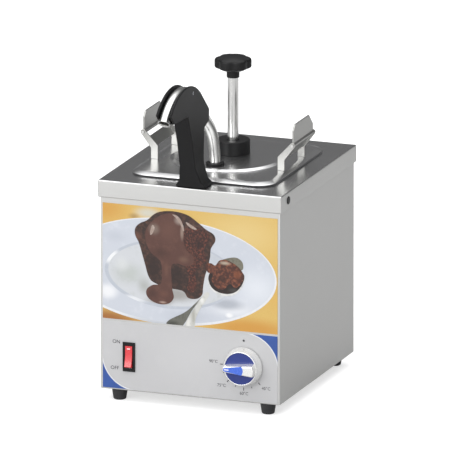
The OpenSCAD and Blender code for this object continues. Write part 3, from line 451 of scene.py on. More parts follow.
# The record's slots, each with the finish that the real part has.
FINISHES = {
    # Stainless sheet, cold rolled and satin ground: soft reflections drawn out sideways.
    "steel_panel": Finish(
        "satin stainless sheet", "#c4c4c2", 1.0, 0.42, Grain.ROLLED_SHEET, 0.25,
        tone=0.02, rough_swing=0.05, relief_mm=0.0015, handling=0.02,
    ),
    # The same sheet finer ground on the deck and lid, where it mirrors the room darkly.
    "steel_deck": Finish(
        "fine ground stainless", "#d2d2d2", 1.0, 0.24, Grain.BRUSHED_TOP, 0.3,
        tone=0.02, rough_swing=0.04, relief_mm=0.001, handling=0.03,
    ),
    # Satin stainless tube and rod: soft bright streaks along them.
    "polished_steel": Finish(
        "satin stainless tube", "#dcdcda", 1.0, 0.22, Grain.TURNED, 0.4,
        tone=0.015, rough_swing=0.03, relief_mm=0.0004, handling=0.03,
    ),
    # Laser-cut stainless strip, as cut and tumbled: an even light grey.
    "bracket_steel": Finish(
        "tumbled stainless strip", "#a8a8a5", 1.0, 0.36, Grain.EVEN, 0.8,
        tone=0.03, rough_swing=0.06, relief_mm=0.002,
    ),
    # Bright zinc plate on small steel screws.
    "zinc_screw": Finish(
        "bright zinc plate", "#c9ccd0", 1.0, 0.3, Grain.EVEN, 0.5, tone=0.05,
        rough_swing=0.06,
    ),
    # Vacuum-metallised ABS trim: a bright, slightly milky silver.
    "silver_trim": Finish(
        "metallised ABS", "#f4f4f2", 0.75, 0.24, Grain.TURNED, 0.5, tone=0.02,
        rough_swing=0.03, relief_mm=0.001, coat=0.3,
    ),
    # Moulded acetal and nylon: near black with a dull, fine spark-eroded skin.
    "black_plastic": Finish(
        "moulded black nylon", "#0b0b0c", 0.0, 0.46, Grain.EVEN, 0.5, tone=0.12,
        rough_swing=0.08, relief_mm=0.012, ior=1.36, handling=0.08,
    ),
    # Moulded rubber: matt, a little dusty.
    "foot_rubber": Finish(
        "moulded rubber", "#232325", 0.0, 0.75, Grain.EVEN, 0.7, tone=0.15,
        rough_swing=0.08, relief_mm=0.015, fuzz=0.15, handling=0.12,
    ),
    # Gloss ABS in a deep blue, for the thermostat's face.
    "blue_plastic": Finish(
        "gloss blue ABS", "#1a2d74", 0.0, 0.32, Grain.EVEN, 0.8, tone=0.04,
        rough_swing=0.05, relief_mm=0.003, coat=0.2,
    ),
    # Translucent red polycarbonate over a neon lamp, read as a solid soft red.
    "red_plastic": Finish(
        "red polycarbonate", "#c8333a", 0.0, 0.25, Grain.EVEN, 1.0, tone=0.06,
        rough_swing=0.05, relief_mm=0.003, coat=0.4,
    ),
    # Natural acetal, machined: white with faint tool marks.
    "white_plastic": Finish(
        "machined white acetal", "#e9e7df", 0.0, 0.4, Grain.TURNED, 0.6, tone=0.03,
        rough_swing=0.06, relief_mm=0.006,
    ),
    # Laminated print film, seen at its cut edges and where nothing is printed on it.
    "picture_print": Finish(
        "laminated picture film", "#c29f52", 0.0, 0.38, Grain.EVEN, 0.7, tone=0.05,
        rough_swing=0.03, relief_mm=0.001,
    ),
    # Laminated grey film behind the controls.
    "control_print": Finish(
        "laminated grey film", "#b0b0b0", 0.0, 0.4, Grain.EVEN, 0.6, tone=0.012,
        rough_swing=0.03, relief_mm=0.001, handling_mm=90.0, handling=0.03,
    ),
    # Needled mineral felt: pale, fibrous and quite matt.
    "insulation_felt": Finish(
        "needled mineral felt", "#d8d2bf", 0.0, 0.95, Grain.EVEN, 1.2, tone=0.15,
        rough_swing=0.04, relief_mm=0.25, fuzz=0.4, handling=0.08,
    ),
    # Heat-darkened alloy sheath of the element.
    "element_sheath": Finish(
        "heat-tinted alloy sheath", "#5c5450", 0.8, 0.5, Grain.EVEN, 1.5, tone=0.2,
        rough_swing=0.12, handling=0.15,
    ),
    # Drawn copper, a little tarnished.
    "copper": Finish(
        "drawn copper", "#b9714a", 1.0, 0.34, Grain.EVEN, 1.2, tone=0.1,
        rough_swing=0.08, handling=0.12,
    ),
    # Tinned brass blades.
    "brass": Finish(
        "brass blade", "#c6a55c", 1.0, 0.34, Grain.EVEN, 1.0, tone=0.08,
        rough_swing=0.08, handling=0.1,
    ),
}


@dataclass
class Palette:
    """The finishes, each built once and then shared."""

    built: dict[str, Material] = field(default_factory=dict)

    def of(self, slot: str) -> Material:
        """The material of one of the record's slots."""
        if slot not in self.built:
            self.built[slot] = FINISHES[slot].build()
        return self.built[slot]

    def dress_frame(self) -> None:
        """Gives each CAD node the finish of its slot in the record."""
        for part in frame["record"]["subparts"]:
            mesh = frame["nodes"][part["node"]].data
            mesh.materials.clear()
            mesh.materials.append(self.of(part["material_slot"]))

    def piece(
        self,
        bm: Mesh,
        name: str,
        body: str,
        slot: str,
        node: str,
        crease: float = 35.0,
        turn_outwards: bool = True,
    ) -> Thing:
        """Makes a piece that replaces one CAD node, in the finish of its slot."""
        return make_piece(bm, name, body, self.of(slot), [node], crease, turn_outwards)

    def soften(
        self,
        node: str,
        body: str,
        slot: str,
        angle: float,
        radius: float,
        segments: int = 3,
        suffix: str = "rounded",
        flat_angle: float = 2.0,
        keep: Callable[[Edge], bool] = lambda edge: True,
    ) -> None:
        """Makes a piece of a CAD node with its sharp edges rounded over.

        Args:
            node: The CAD node's name.
            body: The CAD body that it rides on.
            slot: The finish's slot.
            angle: Edges that turn by more than this many degrees are rounded.
            radius: Their radius.
            segments: How many flats it has.
            suffix: What the piece's name adds to the node's.
            flat_angle: Faces that meet at less than this many degrees become one.
            keep: Which edges may be rounded.
        """
        bm = cad_copy(node, flat_angle)
        bevel_edges(bm, sharp_edges(bm, angle, keep), radius, segments)
        self.piece(bm, f"{node}_{suffix}", body, slot, node)


# ---- Studio ----


@dataclass
class Studio:
    """A pale floor, soft light and the camera."""

    azimuth: float = 20.3
    elevation: float = 15.0
    lens_mm: float = 1500.0
    view_mm: float = 483.0
    right_mm: float = -59.2
    up_mm: float = -30.7
    floor_m: float = 9.0
    target: Vector = field(default_factory=lambda: Vector((0, 0, 0.16)))

    def build(self) -> None:
        """Sets up the whole studio."""
        bpy.context.scene.view_settings.view_transform = "Standard"
        self.place_camera()
        self.lay_floor()
        self.light_room()
        self.hang_lights()

    def place_camera(self) -> None:
        """Makes the camera, aimed from the deck's front right corner.

        The lens is very long, so the view is all but free of perspective.
        """
        a, e = math.radians(self.azimuth), math.radians(self.elevation)
        right = Vector((math.cos(a), math.sin(a), 0))
        up = Vector((-math.sin(a) * math.sin(e), math.cos(a) * math.sin(e), math.cos(e)))
        back = right.cross(up)
        low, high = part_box("top_deck")
        corner = Vector((high.x, low.y, high.z))
        centre = corner + right * self.right_mm * MM + up * self.up_mm * MM
        data = bpy.data.cameras.new("camera")
        data.lens = self.lens_mm
        data.sensor_width = 36.0
        distance = self.view_mm * MM * self.lens_mm / data.sensor_width
        data.clip_end = 3 * distance
        camera = placed("camera", data)
        turn = Matrix((right, up, back)).transposed().to_4x4()
        camera.matrix_world = Matrix.Translation(centre + back * distance) @ turn
        bpy.context.scene.camera = camera

    def lay_floor(self) -> None:
        """Lays the pale floor, which glows a little so that it stays white in its own shade."""
        bm = bmesh.new()
        bmesh.ops.create_grid(bm, x_segments=1, y_segments=1, size=self.floor_m)
        mesh = bpy.data.meshes.new("floor")
        bm.to_mesh(mesh)
        bm.free()
        floor = placed("floor", mesh)
        material = bpy.data.materials.new("matt white paper")
        shader = Shader(material)
        fibre = shader.noise(shader.place, 300.0)
        # The camera sees the sheet lit through from below, as on a light table.
        seen = shader.add("LightPath").outputs["Is Camera Ray"]
        shader.put(
            shader.target,
            {
                "Roughness": 0.9,
                "Specular IOR Level": 0.0,
                "Base Color": shader.blend(fibre, linear("#bcbcbc"), linear("#c4c4c4")),
                "Emission Strength": seen,
                "Emission Color": (0.62, 0.62, 0.62, 1),
            },
        )
        mesh.materials.append(material)

    def light_room(self) -> None:
        """Lights the room: a dim wall low down behind, and a bright ceiling and front."""
        world = bpy.data.worlds.new("studio")
        bpy.context.scene.world = world
        shader = Shader(world, "Background", "Generated")
        axes = shader.add("SeparateXYZ", {0: shader.place}).outputs
        ceiling = shader.ramp(axes["Z"], (0.48, 0.72), kind="SMOOTHSTEP")
        front = shader.ramp(axes["Y"], (0.1, -0.7), kind="SMOOTHSTEP")
        lit = shader.maths("MAXIMUM", ceiling, front)
        zenith = shader.ramp(axes["Z"], (0.72, 0.86), (1.0, 2.6), "SMOOTHSTEP")
        gain = shader.ramp(axes["Y"], (-0.3, -0.8), (1.0, 1.75), "SMOOTHSTEP")
        colour = shader.blend(lit, (0.15, 0.15, 0.152, 1), (0.9, 0.9, 0.91, 1))
        strength = shader.maths("MULTIPLY", zenith, gain)
        shader.put(shader.target, {"Color": colour, "Strength": strength})

    def hang_lights(self) -> None:
        """Hangs the soft boxes: a key at the front left and a weaker fill at the right."""
        boxes = (("key", (-0.9, -2.2, 0.9), 1.2, 17.0), ("fill", (1.3, -2.5, 0.7), 1.0, 3.0))
        for name, place, size, power in boxes:
            data = bpy.data.lights.new(name, "AREA")
            data.shape = "SQUARE"
            data.size = size
            data.energy = power
            light = placed(name, data)
            light.location = place
            aim = self.target - Vector(place)
            light.rotation_euler = aim.to_track_quat("-Z", "Y").to_euler()


# ---- Case ----


def lies_on(edge: Edge, axis: int, levels: Sequence[float]) -> bool:
    """Whether both ends of an edge lie at one of some levels along an axis."""
    return all(min(abs(v.co[axis] - at) for at in levels) < NEAR_MM for v in edge.verts)


@dataclass
class SheetCase:
    """The folded case, its deck, and what stands on the outside of it."""

    palette: Palette
    case_fold_r: float = 1.0
    deck_fold_r: float = 1.2
    plug_edge_r: float = 0.35
    foot_edge_r: float = 0.7
    gland_edge_r: float = 0.6

    def build(self) -> None:
        """Builds every piece of the case."""
        low, high = node_box("case_shell")
        faces = ((0, (low.x, high.x)), (1, (low.y,)), (2, (low.z,)))
        self.fold("case_shell", "case_folded", "steel_panel", faces, self.case_fold_r, 3)
        low, high = node_box("top_deck")
        faces = ((0, (low.x, high.x)), (1, (low.y, high.y)), (2, (high.z,)))
        deck = self.fold("top_deck", "deck_folded", "steel_deck", faces, self.deck_fold_r, 4)
        # The skirt has the case's satin grain, the top the finer one.
        deck.data.materials.append(self.palette.of("steel_panel"))
        for face in deck.data.polygons:
            face.material_index = 0 if face.normal.z > 0.7 else 1
        soften = self.palette.soften
        soften("deck_plugs", "housing", "black_plastic", 40.0, self.plug_edge_r)
        soften("feet", "housing", "foot_rubber", 40.0, self.foot_edge_r)
        soften("cable_gland", "housing", "black_plastic", 40.0, self.gland_edge_r)

    def fold(
        self, node: str, name: str, slot: str, faces: Sequence, radius: float, segments: int
    ) -> Thing:
        """Rounds a folded sheet's outer edges, as a press brake and a welder leave them.

        Args:
            node: The sheet's CAD node.
            name: The piece's name.
            slot: The finish's slot.
            faces: The sheet's outer faces, as (axis, levels). An edge on two of them is rounded.
            radius: The fold's radius.
            segments: How many flats it has.

        Returns:
            The piece.
        """
        bm = cad_copy(node)
        edges = sharp_edges(bm, 60.0, lambda e: sum(lies_on(e, *face) for face in faces) >= 2)
        bevel_edges(bm, edges, radius, segments)
        return self.palette.piece(bm, name, "housing", slot, node)


# ---- Lid ----


@dataclass
class PressedLid:
    """The lid, pressed from one sheet: sloped edge, flat top and a round boss."""

    palette: Palette
    edge_h: float = 0.7
    edge_r: float = 0.35
    bevel_w: float = 8.0
    boss_r: float = 57.0
    boss_slope: float = 5.0
    boss_h: float = 2.4
    wave_steps: int = 8
    corner_r: float = 20.25
    corner_steps: int = 12
    seal_gap: float = 0.1

    def build(self) -> None:
        """Builds the lid."""
        low, high = node_box("lid")
        boss_z = node_box("hub_cap")[0].z
        top = boss_z - self.boss_h
        edge_low = node_box("lid_seal")[1].z + self.seal_gap
        centre, size = (low + high) / 2, high - low
        bm = bmesh.new()
        bmesh.ops.create_grid(bm, x_segments=1, y_segments=1, size=0.5)
        bmesh.ops.scale(bm, vec=(size.x, size.y, 1), verts=bm.verts)
        bmesh.ops.translate(bm, vec=(centre.x, centre.y, edge_low), verts=bm.verts)
        bmesh.ops.bevel(
            bm, geom=list(bm.verts), offset=self.corner_r, segments=self.corner_steps,
            profile=0.5, affect="VERTICES", material=-1,
        )
        self.press_edge(bm, top - edge_low - self.edge_h)

        # The boss rises out of the top in one soft wave.
        foot = self.boss_r + self.boss_slope
        wave = [(foot + 1.5, top - 0.05)]
        for i in range(self.wave_steps + 1):
            t = i / self.wave_steps
            ease = t * t * (3 - 2 * t)
            wave.append((foot - self.boss_slope * t, top + 0.02 + (self.boss_h - 0.02) * ease))
        wave += [(self.boss_r - 6, boss_z), (0.0, boss_z)]
        boss = spun(wave, (centre.x, centre.y), 128)
        mesh = bpy.data.meshes.new("boss")
        boss.to_mesh(mesh)
        boss.free()
        bm.from_mesh(mesh)
        bpy.data.meshes.remove(mesh)
        self.close_under(bm, edge_low)
        self.palette.piece(
            bm, "lid_pressed", "lid_pump", "steel_deck", "lid", crease=50.0, turn_outwards=False
        )

    def press_edge(self, bm: Mesh, rise: float) -> None:
        """Raises the lid's upright edge and its slope, ring by ring, from a flat blank.

        Args:
            bm: The blank.
            rise: How far the slope goes up.
        """
        # Each ring, as (how far in, how far up) from the ring before.
        slope = self.bevel_w - self.edge_r
        shares = ((0.1, 0.16), (0.3, 0.36), (0.3, 0.3), (0.15, 0.12), (0.15, 0.06))
        rings = [(0.0, self.edge_h * 0.6), (self.edge_r, self.edge_h * 0.4)]
        rings += [(slope * a, rise * b) for a, b in shares]
        face = max(bm.faces, key=lambda f: f.calc_area())
        for inwards, upwards in rings:
            if inwards:
                bmesh.ops.inset_region(
                    bm, faces=[face], thickness=inwards, depth=0, use_even_offset=True
                )
                bmesh.ops.translate(bm, vec=(0, 0, upwards), verts=face.verts)
            else:
                out = bmesh.ops.extrude_face_region(bm, geom=[face])["geom"]
                bmesh.ops.delete(bm, geom=[face], context="FACES_ONLY")
                face = next(f for f in out if isinstance(f, bmesh.types.BMFace))
                bmesh.ops.translate(bm, vec=(0, 0, upwards), verts=face.verts)
        bmesh.ops.triangulate(bm, faces=[face])

    @staticmethod
    def close_under(bm: Mesh, edge_low: float) -> None:
        """Closes the lid's underside with one flat sheet.

        Args:
            bm: The lid's mesh.
            edge_low: The height of its lower edge.
        """
        rim = [
            e
            for e in bm.edges
            if len(e.link_faces) == 1 and all(abs(v.co.z - edge_low) < 0.01 for v in e.verts)
        ]
        bmesh.ops.edgeloop_fill(bm, edges=rim)
        for face in bm.faces:
            wanted = -1 if abs(face.calc_center_median().z - edge_low) < 0.01 else 1
            if face.normal.z * wanted < -0.2:
                face.normal_flip()


# ---- Pump ----


@dataclass
class PushPump:
    """What shows of the pump: its hub, its plunger's knob and the spout's collar."""

    palette: Palette
    hub_edge_r: float = 1.6
    rod_gap: float = 0.5
    collar_edge_r: float = 0.5
    head_r: float = 20.0
    head_over_neck: float = 7.6
    lobes: int = 6
    lobe_dip: float = 2.4
    first_lobe: float = -40.0

    def build(self) -> None:
        """Builds the hub, the palm knob and the collar."""
        low, high = node_box("plunger_rod")
        self.rod_r = (high.x - low.x) / 2
        self.axis = node_middle("plunger_rod").xy
        self.turn_hub()
        self.mould_knob()
        self.palette.soften("spout_collar", "lid_pump", "black_plastic", 50.0, self.collar_edge_r)

    def turn_hub(self) -> None:
        """Turns the hub cap, with a soft upper edge and a dished top."""
        low, high = node_box("hub_cap")
        bore, edge = self.rod_r + self.rod_gap, self.hub_edge_r
        radius = (high.x - low.x) / 2
        dish = high.z - 0.6
        profile = [(bore, low.z), (radius - 0.4, low.z), (radius, low.z + 0.4)]
        profile += rounded_corner(
            (radius, high.z - edge), (radius, high.z), (radius - edge, high.z)
        )
        profile += [(radius - 3.5, high.z - 0.15), (bore + 3.2, dish)]
        profile += rounded_corner((bore + 0.8, dish), (bore, dish), (bore, dish - 0.8), 3)
        profile += [(bore, low.z)]
        bm = spun(profile, node_middle("hub_cap").xy, 96)
        self.palette.piece(bm, "hub_cap_turned", "lid_pump", "black_plastic", "hub_cap")

    def mould_knob(self) -> None:
        """Moulds the palm knob: a neck, a crowned head and finger lobes round it."""
        low, high = node_box("palm_knob")
        neck, radius = self.rod_r + 1, self.head_r
        head = low.z + self.head_over_neck
        crown = high.z
        profile = [(0.0, low.z), (neck - 0.5, low.z), (neck, low.z + 0.5), (neck, head - 1.5)]
        profile += rounded_corner((neck, head - 1.2), (neck, head), (neck + 2, head + 0.2), 3)
        profile += [(radius - 6, head + 1.3), (radius - 2.6, head + 2.8)]
        profile += rounded_corner(
            (radius - 1.2, head + 3.5), (radius + 0.2, head + 4.2), (radius, head + 5.6)
        )
        profile += rounded_corner(
            (radius, crown - 5.4), (radius, crown - 3.4), (radius - 2.2, crown - 2.5)
        )
        profile += [(radius - 6, crown - 1.4), (radius - 10, crown - 0.6)]
        profile += [(radius - 15, crown - 0.12), (0.0, crown)]
        bm = spun(profile, self.axis, 144)
        for vert in bm.verts:
            away = Vector((vert.co.x - self.axis[0], vert.co.y - self.axis[1]))
            if away.length < neck + 1:
                continue
            share = min(1.0, (away.length - neck - 1) / (radius - neck - 3))
            angle = math.atan2(away.y, away.x) - math.radians(self.first_lobe)
            # Broad lobes with narrower dips between them.
            dip = (0.5 - 0.5 * math.cos(self.lobes * angle)) ** 2.2
            away *= 1 - self.lobe_dip / radius * dip * share
            vert.co.x, vert.co.y = self.axis[0] + away.x, self.axis[1] + away.y
        self.palette.piece(
            bm, "palm_knob_moulded", "plunger", "black_plastic", "palm_knob", crease=50.0
        )


# ---- Spout ----


class OpenTube:
    """A tube under way: a mesh, the edges of its open end, and where that end points."""

    def __init__(self, radius: float, sides: int, start: Vector) -> None:
        """Starts a tube that points straight up.

        Args:
            radius: Its radius.
            sides: How many flats go round it.
            start: The middle of its lower end.
        """
        self.bm = bmesh.new()
        ring = bmesh.ops.create_circle(
            self.bm, segments=sides, radius=radius, matrix=Matrix.Translation(start)
        )
        self.first = list({e for v in ring["verts"] for e in v.link_edges})
        self.end = list(self.first)
        self.at = start.copy()
        self.angle = 0.0

    @property
    def heading(self) -> Vector:
        """Which way the open end points."""
        return Vector((0, -math.sin(self.angle), math.cos(self.angle)))

    def push(self, length: float, grow: float = 0.0) -> None:
        """Extrudes the open end.

        Args:
            length: How far it goes.
            grow: How much its radius grows.
        """
        out = bmesh.ops.extrude_edge_only(self.bm, edges=self.end)["geom"]
        verts = [g for g in out if isinstance(g, Vert)]
        bmesh.ops.translate(self.bm, vec=self.heading * length, verts=verts)
        self.at += self.heading * length
        if grow:
            middle = sum((v.co for v in verts), Vector()) / len(verts)
            for vert in verts:
                vert.co += (vert.co - middle).normalized() * grow
        self.end = [g for g in out if isinstance(g, Edge)]

    def bend(self, radius: float, degrees: float, steps: int) -> None:
        """Spins the open end forwards round a bend's centre.

        Args:
            radius: The bend's radius.
            degrees: How far it turns.
            steps: How many rings it has.
        """
        outwards = Vector((0, math.cos(self.angle), math.sin(self.angle)))
        centre = self.at - radius * outwards
        out = bmesh.ops.spin(
            self.bm, geom=self.end + list({v for e in self.end for v in e.verts}), cent=centre,
            axis=(1, 0, 0), angle=math.radians(degrees), steps=steps, use_duplicate=False,
        )
        self.end = [g for g in out["geom_last"] if isinstance(g, Edge)]
        self.angle += math.radians(degrees)
        outwards = Vector((0, math.cos(self.angle), math.sin(self.angle)))
        self.at = centre + radius * outwards


@dataclass
class Spout:
    """The bent spout tube and the moulded support that holds it up."""

    palette: Palette
    radius: float = 6.2
    wall: float = 1.05
    bend_r: float = 60.0
    lean: float = 50.4
    incline: float = 65.0
    nozzle: float = 88.0
    lip_h: float = 2.6
    lip_out: float = 0.8
    bend_start: float = 10.7
    mouth_depth: float = 9.0
    sides: int = 40
    edge_r: float = 1.3
    shortest_edge: float = 2.2

    def build(self) -> None:
        """Builds the tube and both halves of its support."""
        self.bend_tube()
        for side in ("left", "right"):
            self.palette.soften(
                f"support_{side}", "lid_pump", "black_plastic", 40.0, self.edge_r,
                suffix="moulded", flat_angle=1.0, keep=self.is_moulded,
            )

    def bend_tube(self) -> None:
        """Bends the tube: up the riser, over the lean, along the incline and down to the lip."""
        low, _ = node_box("spout_tube")
        deck_z = node_box("top_deck")[1].z
        start = Vector((0, node_middle("spout_collar").y, low.z))
        tube = OpenTube(self.radius, self.sides, start)
        tube.push(deck_z + self.bend_start - low.z)
        tube.bend(self.bend_r, self.lean, 14)
        tube.push(self.incline)
        tube.bend(self.bend_r, self.nozzle, 24)
        # A short flare, a rolled lip, and back up inside.
        tube.push(self.lip_h * 0.55, self.lip_out * 0.45)
        tube.push(self.lip_h * 0.45, self.lip_out * 0.55)
        tube.push(0.05, -self.wall * 0.5)
        tube.push(-0.1, -self.wall * 0.6)
        tube.push(-self.lip_h, -self.lip_out * 0.8)
        tube.push(-self.mouth_depth)
        for loop in (tube.end, tube.first):
            bmesh.ops.edgeloop_fill(tube.bm, edges=loop)
        self.palette.piece(
            tube.bm, "spout_tube_bent", "lid_pump", "polished_steel", "spout_tube", crease=60.0
        )

    def is_moulded(self, edge: Edge) -> bool:
        """Whether an edge is neither on the joint between the halves nor on a screw hole."""
        on_joint = all(abs(v.co.x) < 0.05 for v in edge.verts)
        return not on_joint and edge.calc_length() > self.shortest_edge


# ---- Lift handles ----


@dataclass
class LiftHandles:
    """The two folding handles and the brackets that carry them."""

    palette: Palette
    edge_r: float = 0.45

    def build(self) -> None:
        """Rounds the cut edges of both handles and brackets."""
        for side in ("left", "right"):
            for part, body in (("bracket", "lid_pump"), ("handle", f"handle_{side}")):
                self.palette.soften(
                    f"{side}_{part}", body, "bracket_steel", 50.0, self.edge_r, 2, "deburred"
                )


# ---- Controls ----


@dataclass
class RockerSwitch:
    """The switch's bezel and its lit rocker, with the marks moulded into it."""

    palette: Palette
    mark: Material
    bezel_edge_r: float = 0.5
    rocker_edge_r: float = 0.45
    shortest_edge: float = 5.0
    dash_up: float = 9.2
    dash_size: Point = (3.6, 0.9)
    ring_down: float = 6.6
    ring_outer_r: float = 1.9
    ring_inner_r: float = 1.15

    def build(self) -> None:
        """Builds the bezel, the rocker and its marks."""
        for node, body, slot, radius in (
            ("switch_housing", "housing", "black_plastic", self.bezel_edge_r),
            ("switch_rocker", "rocker", "red_plastic", self.rocker_edge_r),
        ):
            self.palette.soften(node, body, slot, 45.0, radius, keep=self.is_long)
        self.print_marks()

    def is_long(self, edge: Edge) -> bool:
        """Whether an edge is long enough to be rounded."""
        return edge.calc_length() > self.shortest_edge

    def print_marks(self) -> None:
        """Prints the dash at the rocker's top and the ring at its bottom."""
        x, z = node_middle("switch_rocker").x, node_middle("switch_housing").z
        rocker = cad_copy("switch_rocker")
        surface = BVHTree.FromBMesh(rocker)
        bm = bmesh.new()
        dash = bmesh.ops.create_grid(bm, x_segments=4, y_segments=1, size=0.5)["verts"]
        bmesh.ops.scale(bm, vec=(*self.dash_size, 1), verts=dash)
        self.lay_on_rocker(dash, surface, x, z + self.dash_up)
        self.lay_on_rocker(self.flat_ring(bm), surface, x, z - self.ring_down)
        rocker.free()
        bmesh.ops.solidify(bm, geom=bm.faces[:], thickness=-0.06)
        make_piece(bm, "rocker_marks", "rocker", self.mark)

    def flat_ring(self, bm: Mesh) -> list:
        """Adds a flat ring and returns its vertices."""
        before = set(bm.verts)
        made = bmesh.ops.create_circle(bm, segments=32, radius=self.ring_outer_r, cap_ends=True)
        face = made["verts"][0].link_faces[0]
        width = self.ring_outer_r - self.ring_inner_r
        bmesh.ops.inset_region(bm, faces=[face], thickness=width)
        bmesh.ops.delete(bm, geom=[face], context="FACES_ONLY")
        return [v for v in bm.verts if v not in before]

    @staticmethod
    def lay_on_rocker(verts: list, surface: BVHTree, x: float, z: float) -> None:
        """Lays a flat mark on the rocker.

        Args:
            verts: The mark's vertices, drawn flat at the origin.
            surface: The rocker's surface.
            x: The mark's middle, sideways.
            z: The mark's middle, upwards.
        """
        for vert in verts:
            start = Vector((x + vert.co.x, -1000, z + vert.co.y))
            hit = surface.ray_cast(start, Vector((0, 1, 0)))[0]
            vert.co = hit - Vector((0, 0.04, 0))


@dataclass
class ThermostatKnob:
    """The thermostat's knob: silver ring, blue face, and a tapered grip with a blue inlay."""

    palette: Palette
    inlay: Material
    mark: Material
    ring_edge_r: float = 0.4
    wide: float = 14.0
    narrow: float = 7.0
    taper: float = 0.86
    inlay_in: float = 1.3
    inlay_end: float = 0.42
    height: float = 9.2
    edge_r: float = 1.3
    pointer_size: Point = (5.0, 0.9)
    pointer_in: float = 2.6

    def build(self) -> None:
        """Builds the ring, the face, the grip, its inlay and its pointer dash."""
        self.palette.soften(
            "dial_ring", "thermostat_knob", "silver_trim", 40.0, self.ring_edge_r, 2
        )
        face = cad_copy("dial_face")
        self.palette.piece(
            face, "dial_face_rounded", "thermostat_knob", "blue_plastic", "dial_face"
        )
        low, high = node_box("dial_grip")
        middle = Vector(((low.x + high.x) / 2, high.y, (low.z + high.z) / 2))
        self.half = (high.x - low.x) / 2
        self.stand = upright(middle)
        self.mould_grip()
        self.inlay_grip()
        self.print_pointer()

    def bar(self, bm: Mesh, trim: float, start: float, end: float) -> None:
        """Draws the grip's tapered outline as a flat face.

        Args:
            bm: The mesh that it joins.
            trim: How far the outline is drawn in.
            start: The tip's place along the bar.
            end: The wide end's place.
        """
        a, b = self.narrow / 2 - trim, self.wide / 2 - trim
        s, e = start + trim, end - trim
        tip = rounded_corner((s + 1.2, -a), (s - 0.6, 0), (s + 1.2, a), 6)
        back = rounded_corner((e - 1.5, b), (e + 2.0, 0), (e - 1.5, -b), 8)
        bm.faces.new([bm.verts.new((x, y, 0)) for x, y in tip + back])

    def mould_grip(self) -> None:
        """Moulds the grip, standing out of the face and tapering upwards."""
        bm = bmesh.new()
        self.bar(bm, 0.0, -self.half, self.half)
        for vert in pushed(bm, (0, 0, self.height)):
            vert.co.y *= self.taper
        bevel_edges(bm, [e for e in bm.edges if all(v.co.z > 1 for v in e.verts)], self.edge_r, 4)
        bmesh.ops.transform(bm, matrix=self.stand, verts=bm.verts)
        self.palette.piece(
            bm, "dial_grip_moulded", "thermostat_knob", "silver_trim", "dial_grip", crease=50.0
        )

    def inlay_grip(self) -> None:
        """Lets the blue inlay into the grip's top."""
        bm = bmesh.new()
        self.bar(bm, self.inlay_in, -self.half - 0.4, self.half * self.inlay_end)
        pushed(bm, (0, 0, 1.25))
        bevel_edges(bm, [e for e in bm.edges if all(v.co.z > 1 for v in e.verts)], 0.22, 2)
        for vert in bm.verts:
            vert.co.y *= self.taper
        self.set_in(bm, "grip_inlay", self.inlay)

    def print_pointer(self) -> None:
        """Lays the white dash on the inlay."""
        bm = bmesh.new()
        length, width = self.pointer_size
        start = -self.half + self.pointer_in
        end, side = start + length, width / 2
        outline = ((start, -side), (end, -side), (end, side), (start, side))
        bm.faces.new([bm.verts.new((x, y, 0)) for x, y in outline])
        pushed(bm, (0, 0, 1.42))
        self.set_in(bm, "grip_pointer", self.mark)

    def set_in(self, bm: Mesh, name: str, material: Material) -> None:
        """Sets a small part a millimetre deep into the grip's top.

        Args:
            bm: Its mesh, drawn flat at the origin.
            name: The piece's name.
            material: Its finish.
        """
        bmesh.ops.translate(bm, vec=(0, 0, self.height - 1.0), verts=bm.verts)
        bmesh.ops.transform(bm, matrix=self.stand, verts=bm.verts)
        make_piece(bm, name, "thermostat_knob", material)


# ---- Front prints ----


@dataclass(frozen=True)
class Glow:
    """A soft oval patch in a print, fading outwards.

    Its place is in millimetres right of the picture's left edge and down from its top.
    """

    at: Point
    half_w: float
    half_h: float
    colour: str
    strength: float = 1.0
    hard: float = 0.0


@dataclass(frozen=True)
class Ink:
    """One ink as printed: a base colour, a mottle in it, and soft patches over it."""

    name: str
    colour: str
    mottle: str
    mottle_mm: float
    mottle_share: float
    glows: tuple[Glow, ...] = ()

    def build(self, origin: Vector) -> Material:
        """Makes the print's material.

        Args:
            origin: The picture's top left corner, in millimetres.

        Returns:
            The material.
        """
        material = bpy.data.materials.new(self.name)
        shader = Shader(material)
        noise = shader.grain(self.mottle_mm, Grain.EVEN, 5.0, 0.65)
        span = (0.68 - self.mottle_share * 0.36, 0.82 - self.mottle_share * 0.3)
        colour = shader.blend(shader.ramp(noise, span), printed(self.colour), printed(self.mottle))
        for glow in self.glows:
            centre = Vector((origin.x + glow.at[0], 0, origin.z - glow.at[1])) * MM
            size = (1 / (glow.half_w * MM), 0, 1 / (glow.half_h * MM))
            local = shader.vector("SUBTRACT", {0: shader.place, 1: centre}).outputs[0]
            scaled = shader.vector("MULTIPLY", {0: local, 1: size}).outputs[0]
            reach = shader.vector("LENGTH", {0: scaled}).outputs["Value"]
            fade = shader.ramp(reach, (glow.hard, 1.0), (glow.strength, 0.0), "SMOOTHSTEP")
            colour = shader.blend(fade, colour, printed(glow.colour))
        shader.put(shader.target, {"Roughness": 0.42, "IOR": 1.5, "Base Color": colour})
        return material


@dataclass(frozen=True)
class Area:
    """One printed area. Without an outline, it covers the whole film."""

    name: str
    layer: int
    ink: Ink
    outline: Sequence[Point] = ()


SHINE = Ink("printed shine", "#a99589", "#cdbfb6", 2.5, 0.5)
BLUE = Ink("printed blue", "#2f55a2", "#345bab", 20.0, 0.5)
WHITE_LINE = Ink("printed white line", "#f2f3f5", "#e9ebef", 8.0, 0.5)
BLACK = Ink("printed black", "#2b2b30", "#34343a", 3.0, 0.5)

